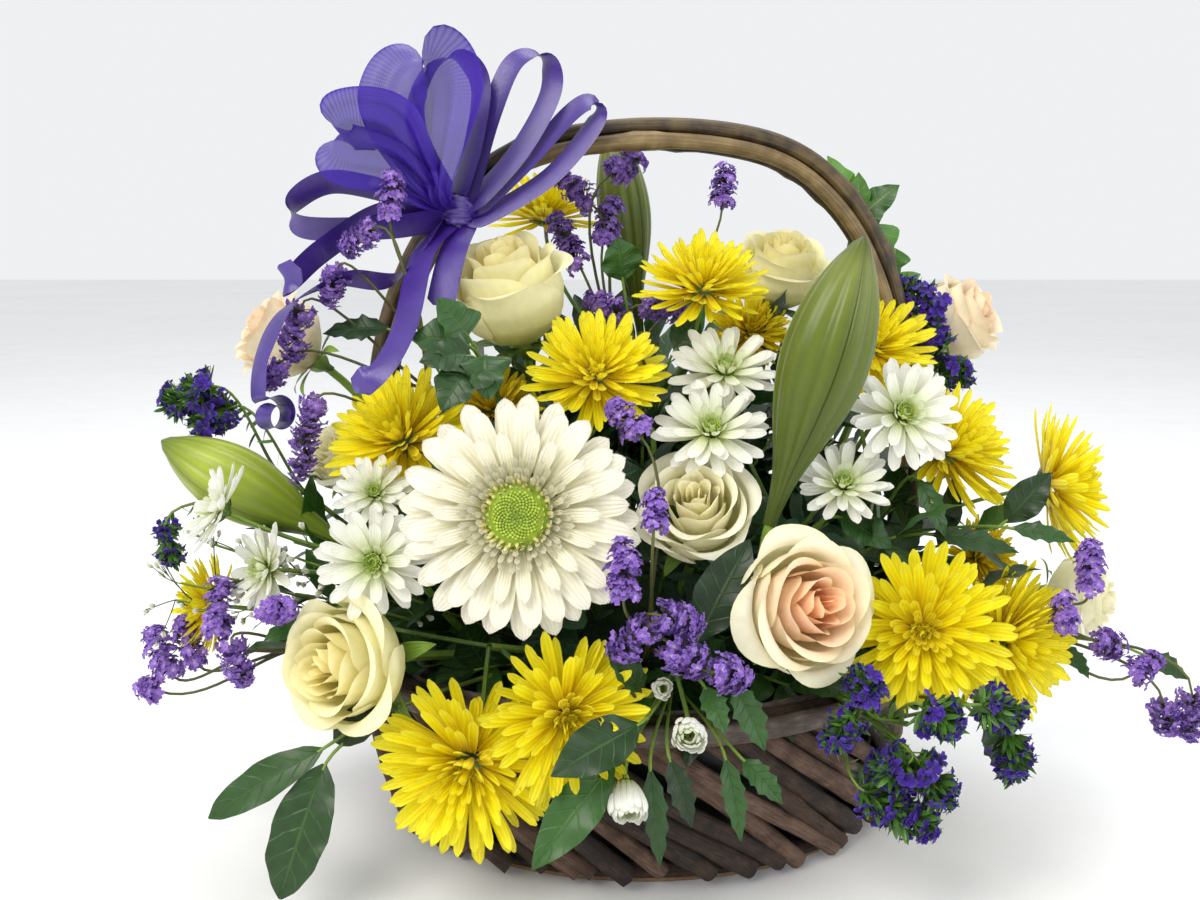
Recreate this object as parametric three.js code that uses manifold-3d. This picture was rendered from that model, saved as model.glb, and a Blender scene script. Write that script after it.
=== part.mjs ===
// Flower basket arrangement: an oval twig basket with an arched handle and a bow, filled with wet
// foam that holds roses, chrysanthemums, a gerbera, lily buds, statice, limonium and greenery.
// Millimetres, +Z up, front towards -Y. The origin is the middle of the basket's underside.
import * as THREE from 'three';
import { mergeVertices } from 'three/addons/utils/BufferGeometryUtils.js';
import Module from 'manifold-3d';

const wasm = await Module();
wasm.setup();

// ---------------------------------------------------------------- driving dimensions

const GAP = 0.35;                                  // clearance between touching pieces
const BASE = { x: 124, y: 98 };                    // half axes of the wall's middle line at the foot
const RIM = { x: 138, y: 115, z: 84 };             // the same at the rim, with its height
const TWIGS = 38;
const TWIG = { wide: 9.8, thick: 8.4 };            // across the twig, and through the wall
const TWIG_SHIFT = 4;                              // places that a twig moves round on its way up
const HOOP = { thick: 7, foot: 8, band: 11 };      // thickness, foot hoop height, rim band height
const FLOOR_THICK = 6;
const LINER = { foot: 108, rim: 119, y: 0.8, top: 87, wall: 1.6 };
const ROD_RADIUS = 4.1;
const HANDLE = { middle: 6, half: 131, spring: 140, top: 334, power: 2.7, bends: 10, foot: 113.6, lean: 11 };
const HANDLE_LEG = [[24, 0.2], [60, 0.66], [96, 1]];   // heights of a leg, with their share of the lean
const FOAM = { x: 86, y: 62, z: 62, middle: 60, sides: 14 };
const SITES = 46;                                  // places for stems on the foam's dome
const SITE_CAP = 0.5;                              // lowest site, as a share of the dome's height
const HOLE_DEPTH = 21;
const HOLE_SIDES = 4;
const SPAN_LENGTH = 32;                            // a bent stem gets a ring about this often
const SHORT_EDGE = 0.02;                            // edges shorter than this are closed up after a join
const COLLAR = 10;                                 // how far a stem runs straight on out of its hole
const RIBBON = { satin: 13, organza: 26, thick: 0.9 };
const KNOT = { at: [-87, -22, 300], half: [12, 12, 10] };
const TIE = { share: 0.365, off: 0.6, inner: 10.9, outer: 12.1 };   // band round the rods, along the handle
const STEM = { rose: 2.3, gerbera: 2.8, lily: 2.4, mum: 1.8, spray: 1.4, branch: 1.0, twiglet: 0.7 };

// Roses: middle of the head, where it faces (azimuth from the front, elevation), diameter, colour.
const ROSES = {
  rose_1: { at: [-63, -25, 265], faces: [-30, 50], size: 60, color: 0xf1ecc0 },
  rose_2: { at: [74, 35, 273], faces: [15, 62], size: 50, color: 0xf3edc6 },
  rose_3: { at: [22, -88, 173], faces: [-8, 38], size: 52, color: 0xf5efc4 },
  rose_4: { at: [-129, -112, 110], faces: [-32, 12], size: 58, color: 0xefe8a6 },
  rose_5: { at: [65, -120, 138], faces: [22, 18], size: 60, color: 0xf6d3ab },
  rose_6: { at: [-184, 18, 238], faces: [-70, 35], size: 50, color: 0xdcbb95 },
  rose_7: { at: [170, 38, 246], faces: [60, 30], size: 48, color: 0xf2dcc6 },
  rose_8: { at: [232, 6, 104], faces: [60, 5], size: 46, color: 0xf1ead0 },
  rose_9: { at: [-146, -24, 184], faces: [-40, 40], size: 36, color: 0xf1ead0 },
};

// Yellow chrysanthemums: receptacle, facing, diameter and number of petals in a row.
const YELLOW_MUMS = {
  yellow_mum_1: { at: [-49, 50, 299], faces: [0, 70], size: 56, count: 9 },
  yellow_mum_2: { at: [28, -30, 264], faces: [3, 62], size: 60, count: 10 },
  yellow_mum_3: { at: [-22, -62, 226], faces: [8, 42], size: 64, count: 11 },
  yellow_mum_4: { at: [-108, -62, 197], faces: [-28, 42], size: 68, count: 11 },
  yellow_mum_5: { at: [-72, -28, 206], faces: [-5, 55], size: 48, count: 8 },
  yellow_mum_6: { at: [111, -12, 234], faces: [18, 45], size: 64, count: 10 },
  yellow_mum_7: { at: [147, -25, 186], faces: [48, 35], size: 70, count: 10 },
  yellow_mum_8: { at: [202, -15, 167], faces: [72, 12], size: 74, count: 10 },
  yellow_mum_9: { at: [119, -100, 122], faces: [-12, 8], size: 74, count: 10 },
  yellow_mum_10: { at: [165, -64, 105], faces: [38, 2], size: 74, count: 10 },
  yellow_mum_11: { at: [-75, -119, 70], faces: [-8, -4], size: 78, count: 12, down: [0.1, -0.3, -0.95] },
  yellow_mum_12: { at: [-34, -134, 97], faces: [12, 4], size: 70, count: 10 },
  yellow_mum_13: { at: [-204, -45, 115], faces: [-60, 12], size: 48, count: 8 },
  yellow_mum_14: { at: [167, -18, 131], faces: [40, 10], size: 44, count: 8 },
  yellow_mum_15: { at: [56, 18, 240], faces: [10, 40], size: 42, count: 8 },
};

// Small white chrysanthemums, by the stem that carries them.
const WHITE_SPRAYS = {
  white_mum_spray_right: {
    fork: [66, -52, 150], aim: [30, -32, 60],
    heads: [
      { at: [37, -52, 228], faces: [0, 52], size: 50, count: 10 },
      { at: [29, -76, 204], faces: [-6, 46], size: 50, count: 10 },
      { at: [114, -70, 211], faces: [6, 24], size: 50, count: 10 },
      { at: [87, -80, 181], faces: [-2, 48], size: 42, count: 9 },
    ],
  },
  white_mum_spray_left: {
    fork: [-108, -60, 140], aim: [-60, -30, 60],
    heads: [
      { at: [-115, -108, 154], faces: [2, 12], size: 48, count: 10 },
      { at: [-167, -84, 144], faces: [-48, 14], size: 42, count: 9 },
      { at: [-186, -84, 171], faces: [-78, 30], size: 44, count: 9 },
      { at: [-117, -92, 180], faces: [8, 30], size: 34, count: 8 },
    ],
  },
  white_mum_spray_front: {
    fork: [12, -112, 108], aim: [10, -60, 60],
    heads: [
      { at: [16, -142, 94], faces: [-4, 8], size: 19, count: 5, bud: true },
      { at: [-10, -146, 72], faces: [4, -35], size: 21, count: 5, bud: true },
      { at: [4, -134, 108], faces: [10, 20], size: 12, count: 5, bud: true },
    ],
  },
};

const GERBERA = { at: [-53, -126, 178], faces: [-4, 16], size: 102, count: 24, aim: [-20, -40, 110] };

// Lily buds: foot of the bud, tip and width.
const LILIES = {
  lily_bud_1: { foot: [53, -92, 166], tip: [91, -86, 289], width: 38, aim: [40, -40, 60] },
  lily_bud_2: { foot: [-141, -40, 144], tip: [-225, -44, 195], width: 34, aim: [-60, -14, 60] },
  lily_bud_3: { foot: [2, 62, 238], tip: [-14, 62, 349], width: 28, aim: [0, 30, 60] },
};

// ---------------------------------------------------------------- small helpers

const vector = ([x, y, z]) => new THREE.Vector3(x, y, z);
const sum = (a, b, share = 1) => a.clone().addScaledVector(b, share);

/** Unit vector at an azimuth from the front (-Y), positive to the right, and an elevation. */
function facing([azimuth, elevation]) {
  const a = THREE.MathUtils.degToRad(azimuth);
  const e = THREE.MathUtils.degToRad(elevation);
  return new THREE.Vector3(Math.sin(a) * Math.cos(e), -Math.cos(a) * Math.cos(e), Math.sin(e));
}

/** Seeded random numbers from 0 to 1. */
function random(seed) {
  let state = seed * 7919 + 17;
  return () => {
    state = (state + 0x6d2b79f5) | 0;
    let t = Math.imul(state ^ (state >>> 15), 1 | state);
    t = (t + Math.imul(t ^ (t >>> 7), 61 | t)) ^ t;
    return ((t ^ (t >>> 14)) >>> 0) / 4294967296;
  };
}

/** Two unit vectors that make a right-handed frame with the axis. */
function frameOf(axis) {
  const helper = Math.abs(axis.z) > 0.9 ? new THREE.Vector3(0, 1, 0) : new THREE.Vector3(0, 0, 1);
  const u = helper.cross(axis).normalize();
  return [u, axis.clone().cross(u).normalize()];
}

/** A three.js geometry as a solid for joins and cuts. */
function solidOf(geometry) {
  const bare = geometry.clone();
  bare.deleteAttribute('normal');
  bare.deleteAttribute('uv');
  const merged = mergeVertices(bare, 1e-4);
  return new wasm.Manifold(new wasm.Mesh({
    numProp: 3,
    vertProperties: new Float32Array(merged.attributes.position.array),
    triVerts: new Uint32Array(merged.index.array),
  }));
}

/** A solid back as a three.js geometry. */
function geometryOf(solid) {
  const mesh = solid.getMesh();
  const geometry = new THREE.BufferGeometry();
  geometry.setAttribute('position', new THREE.BufferAttribute(new Float32Array(mesh.vertProperties), 3));
  geometry.setIndex(new THREE.BufferAttribute(new Uint32Array(mesh.triVerts), 1));
  geometry.computeVertexNormals();
  return geometry;
}

/** Solids as one body: sealed hollows are filled and loose scraps dropped. */
function joined(solids) {
  const parts = wasm.Manifold.union(solids).decompose();
  const body = parts.reduce((best, part) => (part.volume() > best.volume() ? part : best));
  return body.simplify(SHORT_EDGE);
}

/** Points and outward triangles of one closed surface. */
class Shell {
  points = [];
  faces = [];

  add(point) {
    return this.points.push(point) - 1;
  }

  /** Side walls from a ring to the next ring of as many points. */
  wall(lower, upper) {
    lower.forEach((a, i) => {
      const next = (i + 1) % lower.length;
      this.faces.push([a, lower[next], upper[next]], [a, upper[next], upper[i]]);
    });
  }

  fan(ring, point, up) {
    ring.forEach((a, i) => {
      const b = ring[(i + 1) % ring.length];
      this.faces.push(up ? [a, b, point] : [b, a, point]);
    });
  }

  /** Grows a spike from a triangle through three-point sections to a tip. */
  grow(face, { sections, tip }) {
    let foot = face;
    for (const section of sections) {
      const ring = section.map((point) => this.add(point));
      this.wall(foot, ring);
      foot = ring;
    }
    this.fan(foot, this.add(tip), true);
  }

  solid() {
    const geometry = new THREE.BufferGeometry().setFromPoints(this.points);
    geometry.setIndex(this.faces.flat());
    return solidOf(geometry);
  }
}

// ---------------------------------------------------------------- what is already in the basket

const placed = new Map();
const colors = new Map();

function place(name, solid, color) {
  placed.set(name, solid);
  colors.set(name, color);
  return solid;
}

function boxesNear(a, b, reach) {
  const [p, q] = [a.boundingBox(), b.boundingBox()];
  return [0, 1, 2].every((i) => p.min[i] - reach < q.max[i] && q.min[i] - reach < p.max[i]);
}

/** True when two solids share more than a touch. */
function crosses(a, b) {
  return boxesNear(a, b, 0) && a.intersect(b).volume() > 1e-4;
}

/** True when a solid keeps the gap to everything placed, apart from the names given. */
function clear(solid, except = [], gap = GAP) {
  for (const [name, other] of placed) {
    if (except.includes(name) || !boxesNear(solid, other, gap)) continue;
    if (other.minGap(solid, gap) < gap) return false;
  }
  return true;
}

/** First of several makes of a piece that is clear of the rest, or null. */
function firstClear(variants, make, except) {
  for (const variant of variants) {
    const made = make(variant);
    if (made && clear(made.solid, except)) return made;
  }
  return null;
}

// ---------------------------------------------------------------- shapes

/** Round rod along a curve, with flat ends. */
function rod(curve, radius, sides = 5, steps = 5) {
  const section = new THREE.Shape();
  for (let i = 0; i < sides; i += 1) {
    const angle = (i / sides) * Math.PI * 2;
    const move = i ? 'lineTo' : 'moveTo';
    section[move](radius * Math.cos(angle), radius * Math.sin(angle));
  }
  const geometry = new THREE.ExtrudeGeometry(section, { extrudePath: curve, steps, bevelEnabled: false });
  return solidOf(geometry);
}

/** Straight from the foot to the mouth of a hole, then a free curve. */
class StemCurve extends THREE.Curve {
  constructor(foot, free, steps) {
    super();
    this.straight = new THREE.LineCurve3(foot, free.v0);
    this.free = free;
    this.share = 1 / steps;
  }

  getUtoTmapping(share) {
    return share;
  }

  getPoint(t) {
    if (t < this.share) return this.straight.getPoint(t / this.share);
    return this.free.getPoint((t - this.share) / (1 - this.share));
  }
}

// How far a stem may bow sideways and upwards to pass its neighbours, tried in this order.
const BOWS = [];
for (const reach of [0, 8, 16, 26, 38, 52]) {
  const turns = reach ? 8 : 1;
  for (let i = 0; i < turns; i += 1) {
    const angle = (i / turns) * Math.PI * 2;
    BOWS.push([reach * Math.cos(angle), reach * Math.sin(angle)]);
  }
}

/** True when a stem, past the collar round its hole, runs into the foam. */
function entersFoam(corners, radius) {
  const room = radius + GAP;
  let passed = 0;
  return corners.slice(1).some((to, i) => {
    const from = corners[i];
    const length = from.distanceTo(to);
    const inside = [0, 0.15, 0.3, 0.45, 0.6, 0.75, 0.9].some((share) => {
      if (passed + length * share < HOLE_DEPTH + COLLAR - 2) return false;
      const { x, y, z } = from.clone().lerp(to, share);
      const rise = Math.max(0, z - FOAM.middle) / (FOAM.z + room);
      return (x / (FOAM.x + room)) ** 2 + (y / (FOAM.y + room)) ** 2 + rise ** 2 < 1;
    });
    passed += length;
    return inside;
  });
}

/** Stem from a start to an end that bows clear of what is placed. */
function stem(start, leaving, end, arriving, radius, options = {}) {
  const { sides = 4, foot = null, except = [], stiff = 0.38 } = options;
  const span = start.distanceTo(end);
  const [u, v] = frameOf(end.clone().sub(start).normalize());
  const make = ([side, lift]) => {
    const push = u.clone().multiplyScalar(side).addScaledVector(v, lift);
    const near = sum(start, leaving, span * stiff);
    if (!foot) near.add(push);
    const far = sum(end, arriving, -span * stiff).addScaledVector(push, foot ? 1.6 : 1);
    const free = new THREE.CubicBezierCurve3(start, near, far, end);
    const bends = THREE.MathUtils.clamp(Math.round(free.getLength() / SPAN_LENGTH), 2, 4);
    const steps = foot ? bends + 1 : bends;
    const curve = foot ? new StemCurve(foot, free, steps) : free;
    const corners = curve.getSpacedPoints(steps);
    if (foot && entersFoam(corners, radius)) return null;
    return { solid: rod(curve, radius, sides, steps), joints: corners.reverse() };
  };
  return firstClear(BOWS, make, ['foam', ...except]) ?? BOWS.map(make).find((one) => one);
}

/** Petal with a flat underside and a ridge, through stations of [share of length, share of width]. */
function petal({ root, along, across, above, length, width, thick, bend, stations }) {
  const at = (share) => sum(sum(root, along, length * share), above, length * bend * share * share);
  const sections = stations.map(([share, wide]) => {
    const middle = at(share);
    const low = sum(middle, above, -thick * 0.4);
    return [sum(low, across, -width * wide * 0.5), sum(low, across, width * wide * 0.5),
      sum(middle, above, thick * 0.6)];
  });
  return { sections, tip: at(1) };
}

// Lengths and lifts, in radians, that a petal tries to keep clear of its neighbours.
const PETAL_TRIES = [[1, 0], [1, 0.2], [1, -0.2], [0.85, 0.1], [0.85, 0.4], [0.7, 0], [0.7, 0.4],
  [0.55, 0.2], [0.4, 0.3], [0.25, 0.4]];

/**
 * Flower head: rings round an axis, with petals grown from every other triangle between two rings.
 * rings hold [radius, height]; rows, one per space between rings, describe the petals there.
 */
function head({ at, axis, count, bottom, rings, top, rows, seed, shell = new Shell(), from = null }) {
  const draw = random(seed);
  const grownHere = [];
  const [u, v] = frameOf(axis);
  const step = (Math.PI * 2) / count;
  const round = (angle) => u.clone().multiplyScalar(Math.cos(angle)).addScaledVector(v, Math.sin(angle));
  const rounds = rings.map(([radius, height], level) => Array.from({ length: count }, (_, i) => (
    shell.add(sum(sum(at, axis, height), round((i + level / 2) * step), radius)))));
  if (from) shell.wall(nearest(shell, from, rounds[0]), rounds[0]);
  else shell.fan(rounds[0], shell.add(sum(at, axis, bottom)), false);
  rows.forEach((row, level) => {
    for (let i = 0; i < count; i += 1) {
      const next = (i + 1) % count;
      const face = [rounds[level][i], rounds[level][next], rounds[level + 1][i]];
      shell.faces.push([rounds[level][next], rounds[level + 1][next], rounds[level + 1][i]]);
      const angle = (i + level / 2 + 0.5) * step;
      const found = row && petalOn(shell, face, axis, round(angle), round(angle + Math.PI / 2), row, draw,
        grownHere);
      if (found) shell.grow(face, found.grown);
      else shell.faces.push(face);
    }
  });
  shell.fan(rounds[rounds.length - 1], shell.add(sum(at, axis, top)), true);
  return shell.solid();
}

/** A ring turned round its own middle so that its first point lies nearest the other's. */
function nearest(shell, ring, other) {
  const far = (turn) => shell.points[ring[turn]].distanceTo(shell.points[other[0]]);
  const best = ring.map((_, turn) => turn).reduce((a, b) => (far(b) < far(a) ? b : a));
  return [...ring.slice(best), ...ring.slice(0, best)];
}

/**
 * The petal that a triangle of a head carries: full, or lifted and shorter where it is crowded. It
 * is added to the petals that the head has grown, which the next ones keep out of.
 */
function petalOn(shell, face, axis, outward, across, row, draw, grownHere) {
  const corners = face.map((index) => shell.points[index]);
  const root = corners.reduce((all, one) => all.add(one), new THREE.Vector3()).divideScalar(3);
  const length = row.length * (1 - row.uneven * draw());
  const wobble = (draw() - 0.5) * row.uneven * 0.5;
  const make = ([share, lift]) => {
    const rise = row.rise + lift + wobble;
    const along = outward.clone().multiplyScalar(Math.cos(rise)).addScaledVector(axis, Math.sin(rise));
    const above = outward.clone().multiplyScalar(-Math.sin(rise)).addScaledVector(axis, Math.cos(rise));
    const grown = petal({ ...row, root, along, across, above, length: length * share });
    const single = new Shell();
    const foot = corners.map((corner) => single.add(corner));
    single.faces.push([foot[0], foot[2], foot[1]]);
    single.grow(foot, grown);
    const solid = single.solid();
    return grownHere.some((other) => crosses(solid, other)) ? null : { solid, grown };
  };
  const found = firstClear(PETAL_TRIES, make, []);
  if (found) grownHere.push(found.solid);
  return found;
}

/** Directions of a line of points, each halfway between the spans that meet there. */
function bisectors(points, arriving = null) {
  return points.map((point, i) => {
    const before = i ? point.clone().sub(points[i - 1]).normalize() : new THREE.Vector3();
    const after = points[i + 1]?.clone().sub(point).normalize() ?? arriving ?? before;
    return before.add(after).normalize();
  });
}

/** Three-sided stalk along a curve, added to a shell with its first end closed; its last ring. */
function stalk(shell, curve, radius, across, arriving) {
  const middles = curve.getSpacedPoints(2);
  const ways = bisectors(middles, arriving);
  let ring = null;
  for (const [i, middle] of middles.entries()) {
    const along = ways[i];
    const side = across.clone().addScaledVector(along, -across.dot(along)).normalize();
    const above = along.clone().cross(side);
    const low = sum(middle, above, -radius * 0.5);
    const next = [sum(low, side, -radius * 0.87), sum(low, side, radius * 0.87), sum(middle, above, radius)]
      .map((point) => shell.add(point));
    if (ring) shell.wall(ring, next);
    else shell.faces.push([next[0], next[2], next[1]]);
    ring = next;
  }
  return ring;
}

/** Curve of a stalk from a fork, bowed aside, that arrives along a direction. */
function stalkCurve(hub, end, arriving, [side, lift]) {
  const span = hub.distanceTo(end);
  const away = end.clone().sub(hub).normalize();
  const [u, v] = frameOf(away);
  const reach = Math.min(1, span / 40);
  const push = u.multiplyScalar(side * reach).addScaledVector(v, lift * reach);
  return new THREE.CubicBezierCurve3(hub, sum(hub, away, span * 0.3).add(push),
    sum(end, arriving, -span * 0.3).add(push), end);
}

// How the edge of a blade runs: stations of [share of length, share of width].
const BLADES = {
  plain: { stations: [[0.34, 1], [0.7, 0.72]], arch: 0.16 },
  large: { stations: [[0.2, 0.72], [0.5, 1], [0.8, 0.6]], arch: 0.1 },
  ivy: { stations: [[0.16, 1], [0.42, 0.5], [0.58, 0.7]], arch: 0.05 },
};

/** Leaf on its stalk from a fork: a blade with a flat underside and a ridge at its midrib. */
function stalkedLeaf(hub, base, tip, width, up, bow, { stations, arch }) {
  const along = tip.clone().sub(base);
  const length = along.length();
  along.normalize();
  const across = up.clone().cross(along).normalize();
  const above = along.clone().cross(across);
  const shell = new Shell();
  let ring = stalk(shell, stalkCurve(hub, base, along, bow), STEM.twiglet, across, along);
  for (const [share, wide] of stations) {
    const middle = sum(sum(base, along, length * share), above, length * arch * 4 * share * (1 - share));
    const low = sum(middle, above, -0.6);
    const next = [sum(low, across, -width * wide / 2), sum(low, across, width * wide / 2),
      sum(middle, above, 0.8)].map((point) => shell.add(point));
    shell.wall(ring, next);
    ring = next;
  }
  shell.fan(ring, shell.add(tip), true);
  return shell.solid();
}

/** Ribbon along a curve: a thin strip whose width turns from one direction to another. */
function ribbon(points, width, across, acrossEnd = across, steps = 8) {
  const middles = new THREE.CatmullRomCurve3(points.map(vector)).getSpacedPoints(steps);
  const ways = bisectors(middles);
  const shell = new Shell();
  const rings = [];
  for (let i = 0; i <= steps; i += 1) {
    const tangent = ways[i];
    const wide = vector(across).lerp(vector(acrossEnd), i / steps);
    wide.addScaledVector(tangent, -wide.dot(tangent)).normalize();
    const face = tangent.clone().cross(wide).normalize();
    const corner = (w, h) => shell.add(sum(sum(middles[i], wide, w * width / 2),
      face, h * RIBBON.thick / 2));
    rings.push([corner(-1, -1), corner(1, -1), corner(1, 1), corner(-1, 1)]);
    if (i) shell.wall(rings[i - 1], rings[i]);
  }
  const [a, b] = [rings[0], rings[steps]];
  shell.faces.push([a[0], a[2], a[1]], [a[0], a[3], a[2]], [b[0], b[1], b[2]], [b[0], b[2], b[3]]);
  return shell.solid();
}

// ---------------------------------------------------------------- basket

/** Point of the wall's middle line at an angle, from the foot (0) to the rim (1). */
function wallPoint(angle, share) {
  const x = THREE.MathUtils.lerp(BASE.x, RIM.x, share);
  const y = THREE.MathUtils.lerp(BASE.y, RIM.y, share);
  return new THREE.Vector3(x * Math.cos(angle), y * Math.sin(angle), share * RIM.z);
}

/**
 * Twig wall: a foot hoop and a rim band, each a ring of four-sided sections, joined by slanting
 * twigs that rise from the top faces of the hoop into the lower faces of the band.
 */
function basketWall() {
  const shell = new Shell();
  const step = (Math.PI * 2) / TWIGS;
  const station = (share, height, turn) => {
    const { x, y } = wallPoint(turn, share);
    const out = new THREE.Vector3(x, y, 0).normalize().multiplyScalar(HOOP.thick / 2);
    const middle = new THREE.Vector3(x, y, height);
    return { inner: shell.add(middle.clone().sub(out)), outer: shell.add(middle.clone().add(out)) };
  };
  const circle = (share, height) => (
    Array.from({ length: TWIGS }, (_, i) => station(share, height, i * step)));
  const [foot, footTop] = [circle(0.02, 0), circle(0.06, HOOP.foot)];
  const [band, bandTop] = [circle(0.98, RIM.z - HOOP.band / 2), circle(1, RIM.z + HOOP.band / 2)];
  const quad = (a, b, c, d) => shell.faces.push([a, b, c], [a, c, d]);
  for (let i = 0; i < TWIGS; i += 1) {
    const j = (i + 1) % TWIGS;
    quad(foot[i].inner, foot[j].inner, foot[j].outer, foot[i].outer);
    quad(bandTop[i].inner, bandTop[i].outer, bandTop[j].outer, bandTop[j].inner);
    for (const [low, high] of [[foot, footTop], [band, bandTop]]) {
      quad(low[i].outer, low[j].outer, high[j].outer, high[i].outer);
      quad(low[j].inner, low[i].inner, high[i].inner, high[j].inner);
    }
    const upper = (i - TWIG_SHIFT + TWIGS) % TWIGS;
    const after = (upper + 1) % TWIGS;
    let ring = [footTop[i].inner, footTop[i].outer, footTop[j].outer, footTop[j].inner];
    for (const share of [0.3, 0.7]) {
      const section = twigSection((i + 0.5) * step, share, step).map((point) => shell.add(point));
      shell.wall(ring, section);
      ring = section;
    }
    shell.wall(ring, [band[upper].inner, band[upper].outer, band[after].outer, band[after].inner]);
  }
  return shell.solid();
}

/** Four corners of a twig that started at an angle, at a share of the wall's height. */
function twigSection(start, share, step) {
  const at = (part) => wallPoint(start - TWIG_SHIFT * step * part, part);
  const middle = at(share);
  const along = at(share + 0.05).sub(at(share - 0.05)).normalize();
  const out = new THREE.Vector3(middle.x, middle.y * (RIM.x / RIM.y) ** 2, 0).normalize();
  const across = out.clone().cross(along).normalize();
  const corner = (w, t) => sum(sum(middle, across, w * TWIG.wide / 2), out, t * TWIG.thick / 2);
  return [corner(1, -1), corner(1, 1), corner(-1, 1), corner(-1, -1)];
}

/** Path of the handle's middle line, from the left foot over the top to the right foot. */
function handlePath(across, outward) {
  const { middle, half, spring, top, power, bends, foot, lean } = HANDLE;
  const points = [];
  const leg = (sign) => HANDLE_LEG.map(([z, share]) => (
    [sign * (foot + lean * share + outward[0]), z, across[0]]));
  points.push(...leg(-1));
  for (let i = 0; i <= bends; i += 1) {
    const angle = Math.PI * (1 - i / bends);
    const [c, s] = [Math.cos(angle), Math.sin(angle)];
    const x = Math.sign(c) * Math.abs(c) ** (2 / power);
    const z = s ** (2 / power);
    points.push([middle * s + (half + outward[1]) * x, spring + (top - spring + outward[1]) * z, across[1]]);
  }
  points.push(...leg(1).reverse());
  return new THREE.CatmullRomCurve3(points.map(([x, z, y]) => new THREE.Vector3(x, y, z)));
}

function handleRod(across, outward) {
  return rod(handlePath(across, outward), ROD_RADIUS, 5, 15);
}

/** Oval bowl or plug turned from a profile of [radius, height]. */
function turned(profile, sides, squash) {
  const points = profile.map(([radius, height]) => new THREE.Vector2(radius, height));
  return solidOf(new THREE.LatheGeometry(points, sides).rotateX(Math.PI / 2).scale(1, squash, 1));
}

function basketFloor() {
  const x = BASE.x - HOOP.thick / 2 - 1.2;
  const y = BASE.y - HOOP.thick / 2 - 1.2;
  return turned([[0, 0], [x, 0], [x, FLOOR_THICK], [0, FLOOR_THICK]], 22, y / x);
}

function liner() {
  const { foot, rim, y, top, wall } = LINER;
  const low = FLOOR_THICK + GAP;
  const profile = [[0, low], [foot, low], [rim, top], [rim - wall, top], [foot - wall, low + wall],
    [0, low + wall]];
  return turned(profile, 20, y);
}

// ---------------------------------------------------------------- foam and its sites

/** Places for stems, spread evenly over the foam's dome by the golden angle. */
function foamSites() {
  const focus = new THREE.Vector3(0, 0, FOAM.middle);
  return Array.from({ length: SITES }, (_, k) => {
    const rise = 1 - ((1 - SITE_CAP) * (k + 0.5)) / SITES;
    const angle = k * Math.PI * (3 - Math.sqrt(5));
    const round = Math.sqrt(1 - rise * rise);
    const offset = new THREE.Vector3(FOAM.x * round * Math.cos(angle), FOAM.y * round * Math.sin(angle),
      FOAM.z * rise);
    return { mouth: focus.clone().add(offset), out: offset.clone().normalize(), radius: 0 };
  });
}

const sites = foamSites();

/** Takes the free site nearest to where a stem would leave the foam towards its flower. */
function takeSite(target, radius) {
  const wish = new THREE.Vector3(target.x / FOAM.x, target.y / FOAM.y, (target.z - FOAM.middle) / FOAM.z)
    .normalize();
  const worth = ({ mouth }) => {
    const offset = new THREE.Vector3(mouth.x / FOAM.x, mouth.y / FOAM.y,
      (mouth.z - FOAM.middle) / FOAM.z);
    return offset.dot(wish);
  };
  const free = sites.filter((site) => !site.radius).sort((a, b) => worth(b) - worth(a));
  free[0].radius = radius;
  return free[0];
}

function foam() {
  const { x, y, z, middle, sides } = FOAM;
  const low = FLOOR_THICK + LINER.wall + GAP * 2;
  const profile = [[0, low], [x, low], [x, middle]];
  for (const degrees of [35, 62, 90]) {
    const angle = THREE.MathUtils.degToRad(degrees);
    profile.push([degrees === 90 ? 0 : x * Math.cos(angle), middle + z * Math.sin(angle)]);
  }
  let block = turned(profile, sides, y / x);
  for (const site of sites.filter(({ radius }) => radius)) {
    const bottom = sum(site.mouth, site.out, -HOLE_DEPTH);
    const top = sum(site.mouth, site.out, 4);
    const width = (site.radius + GAP) / Math.cos(Math.PI / HOLE_SIDES);
    block = block.subtract(rod(new THREE.LineCurve3(bottom, top), width, HOLE_SIDES, 1));
  }
  return block;
}

/** Stem out of the foam to a point, for a given aim on the foam. */
function rooted(aim, end, arriving, radius, options = {}) {
  const site = takeSite(aim, radius);
  const foot = sum(site.mouth, site.out, GAP - HOLE_DEPTH);
  const mouth = sum(site.mouth, site.out, COLLAR);
  return stem(mouth, site.out, end, arriving, radius, { ...options, foot });
}

// ---------------------------------------------------------------- bow

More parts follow.
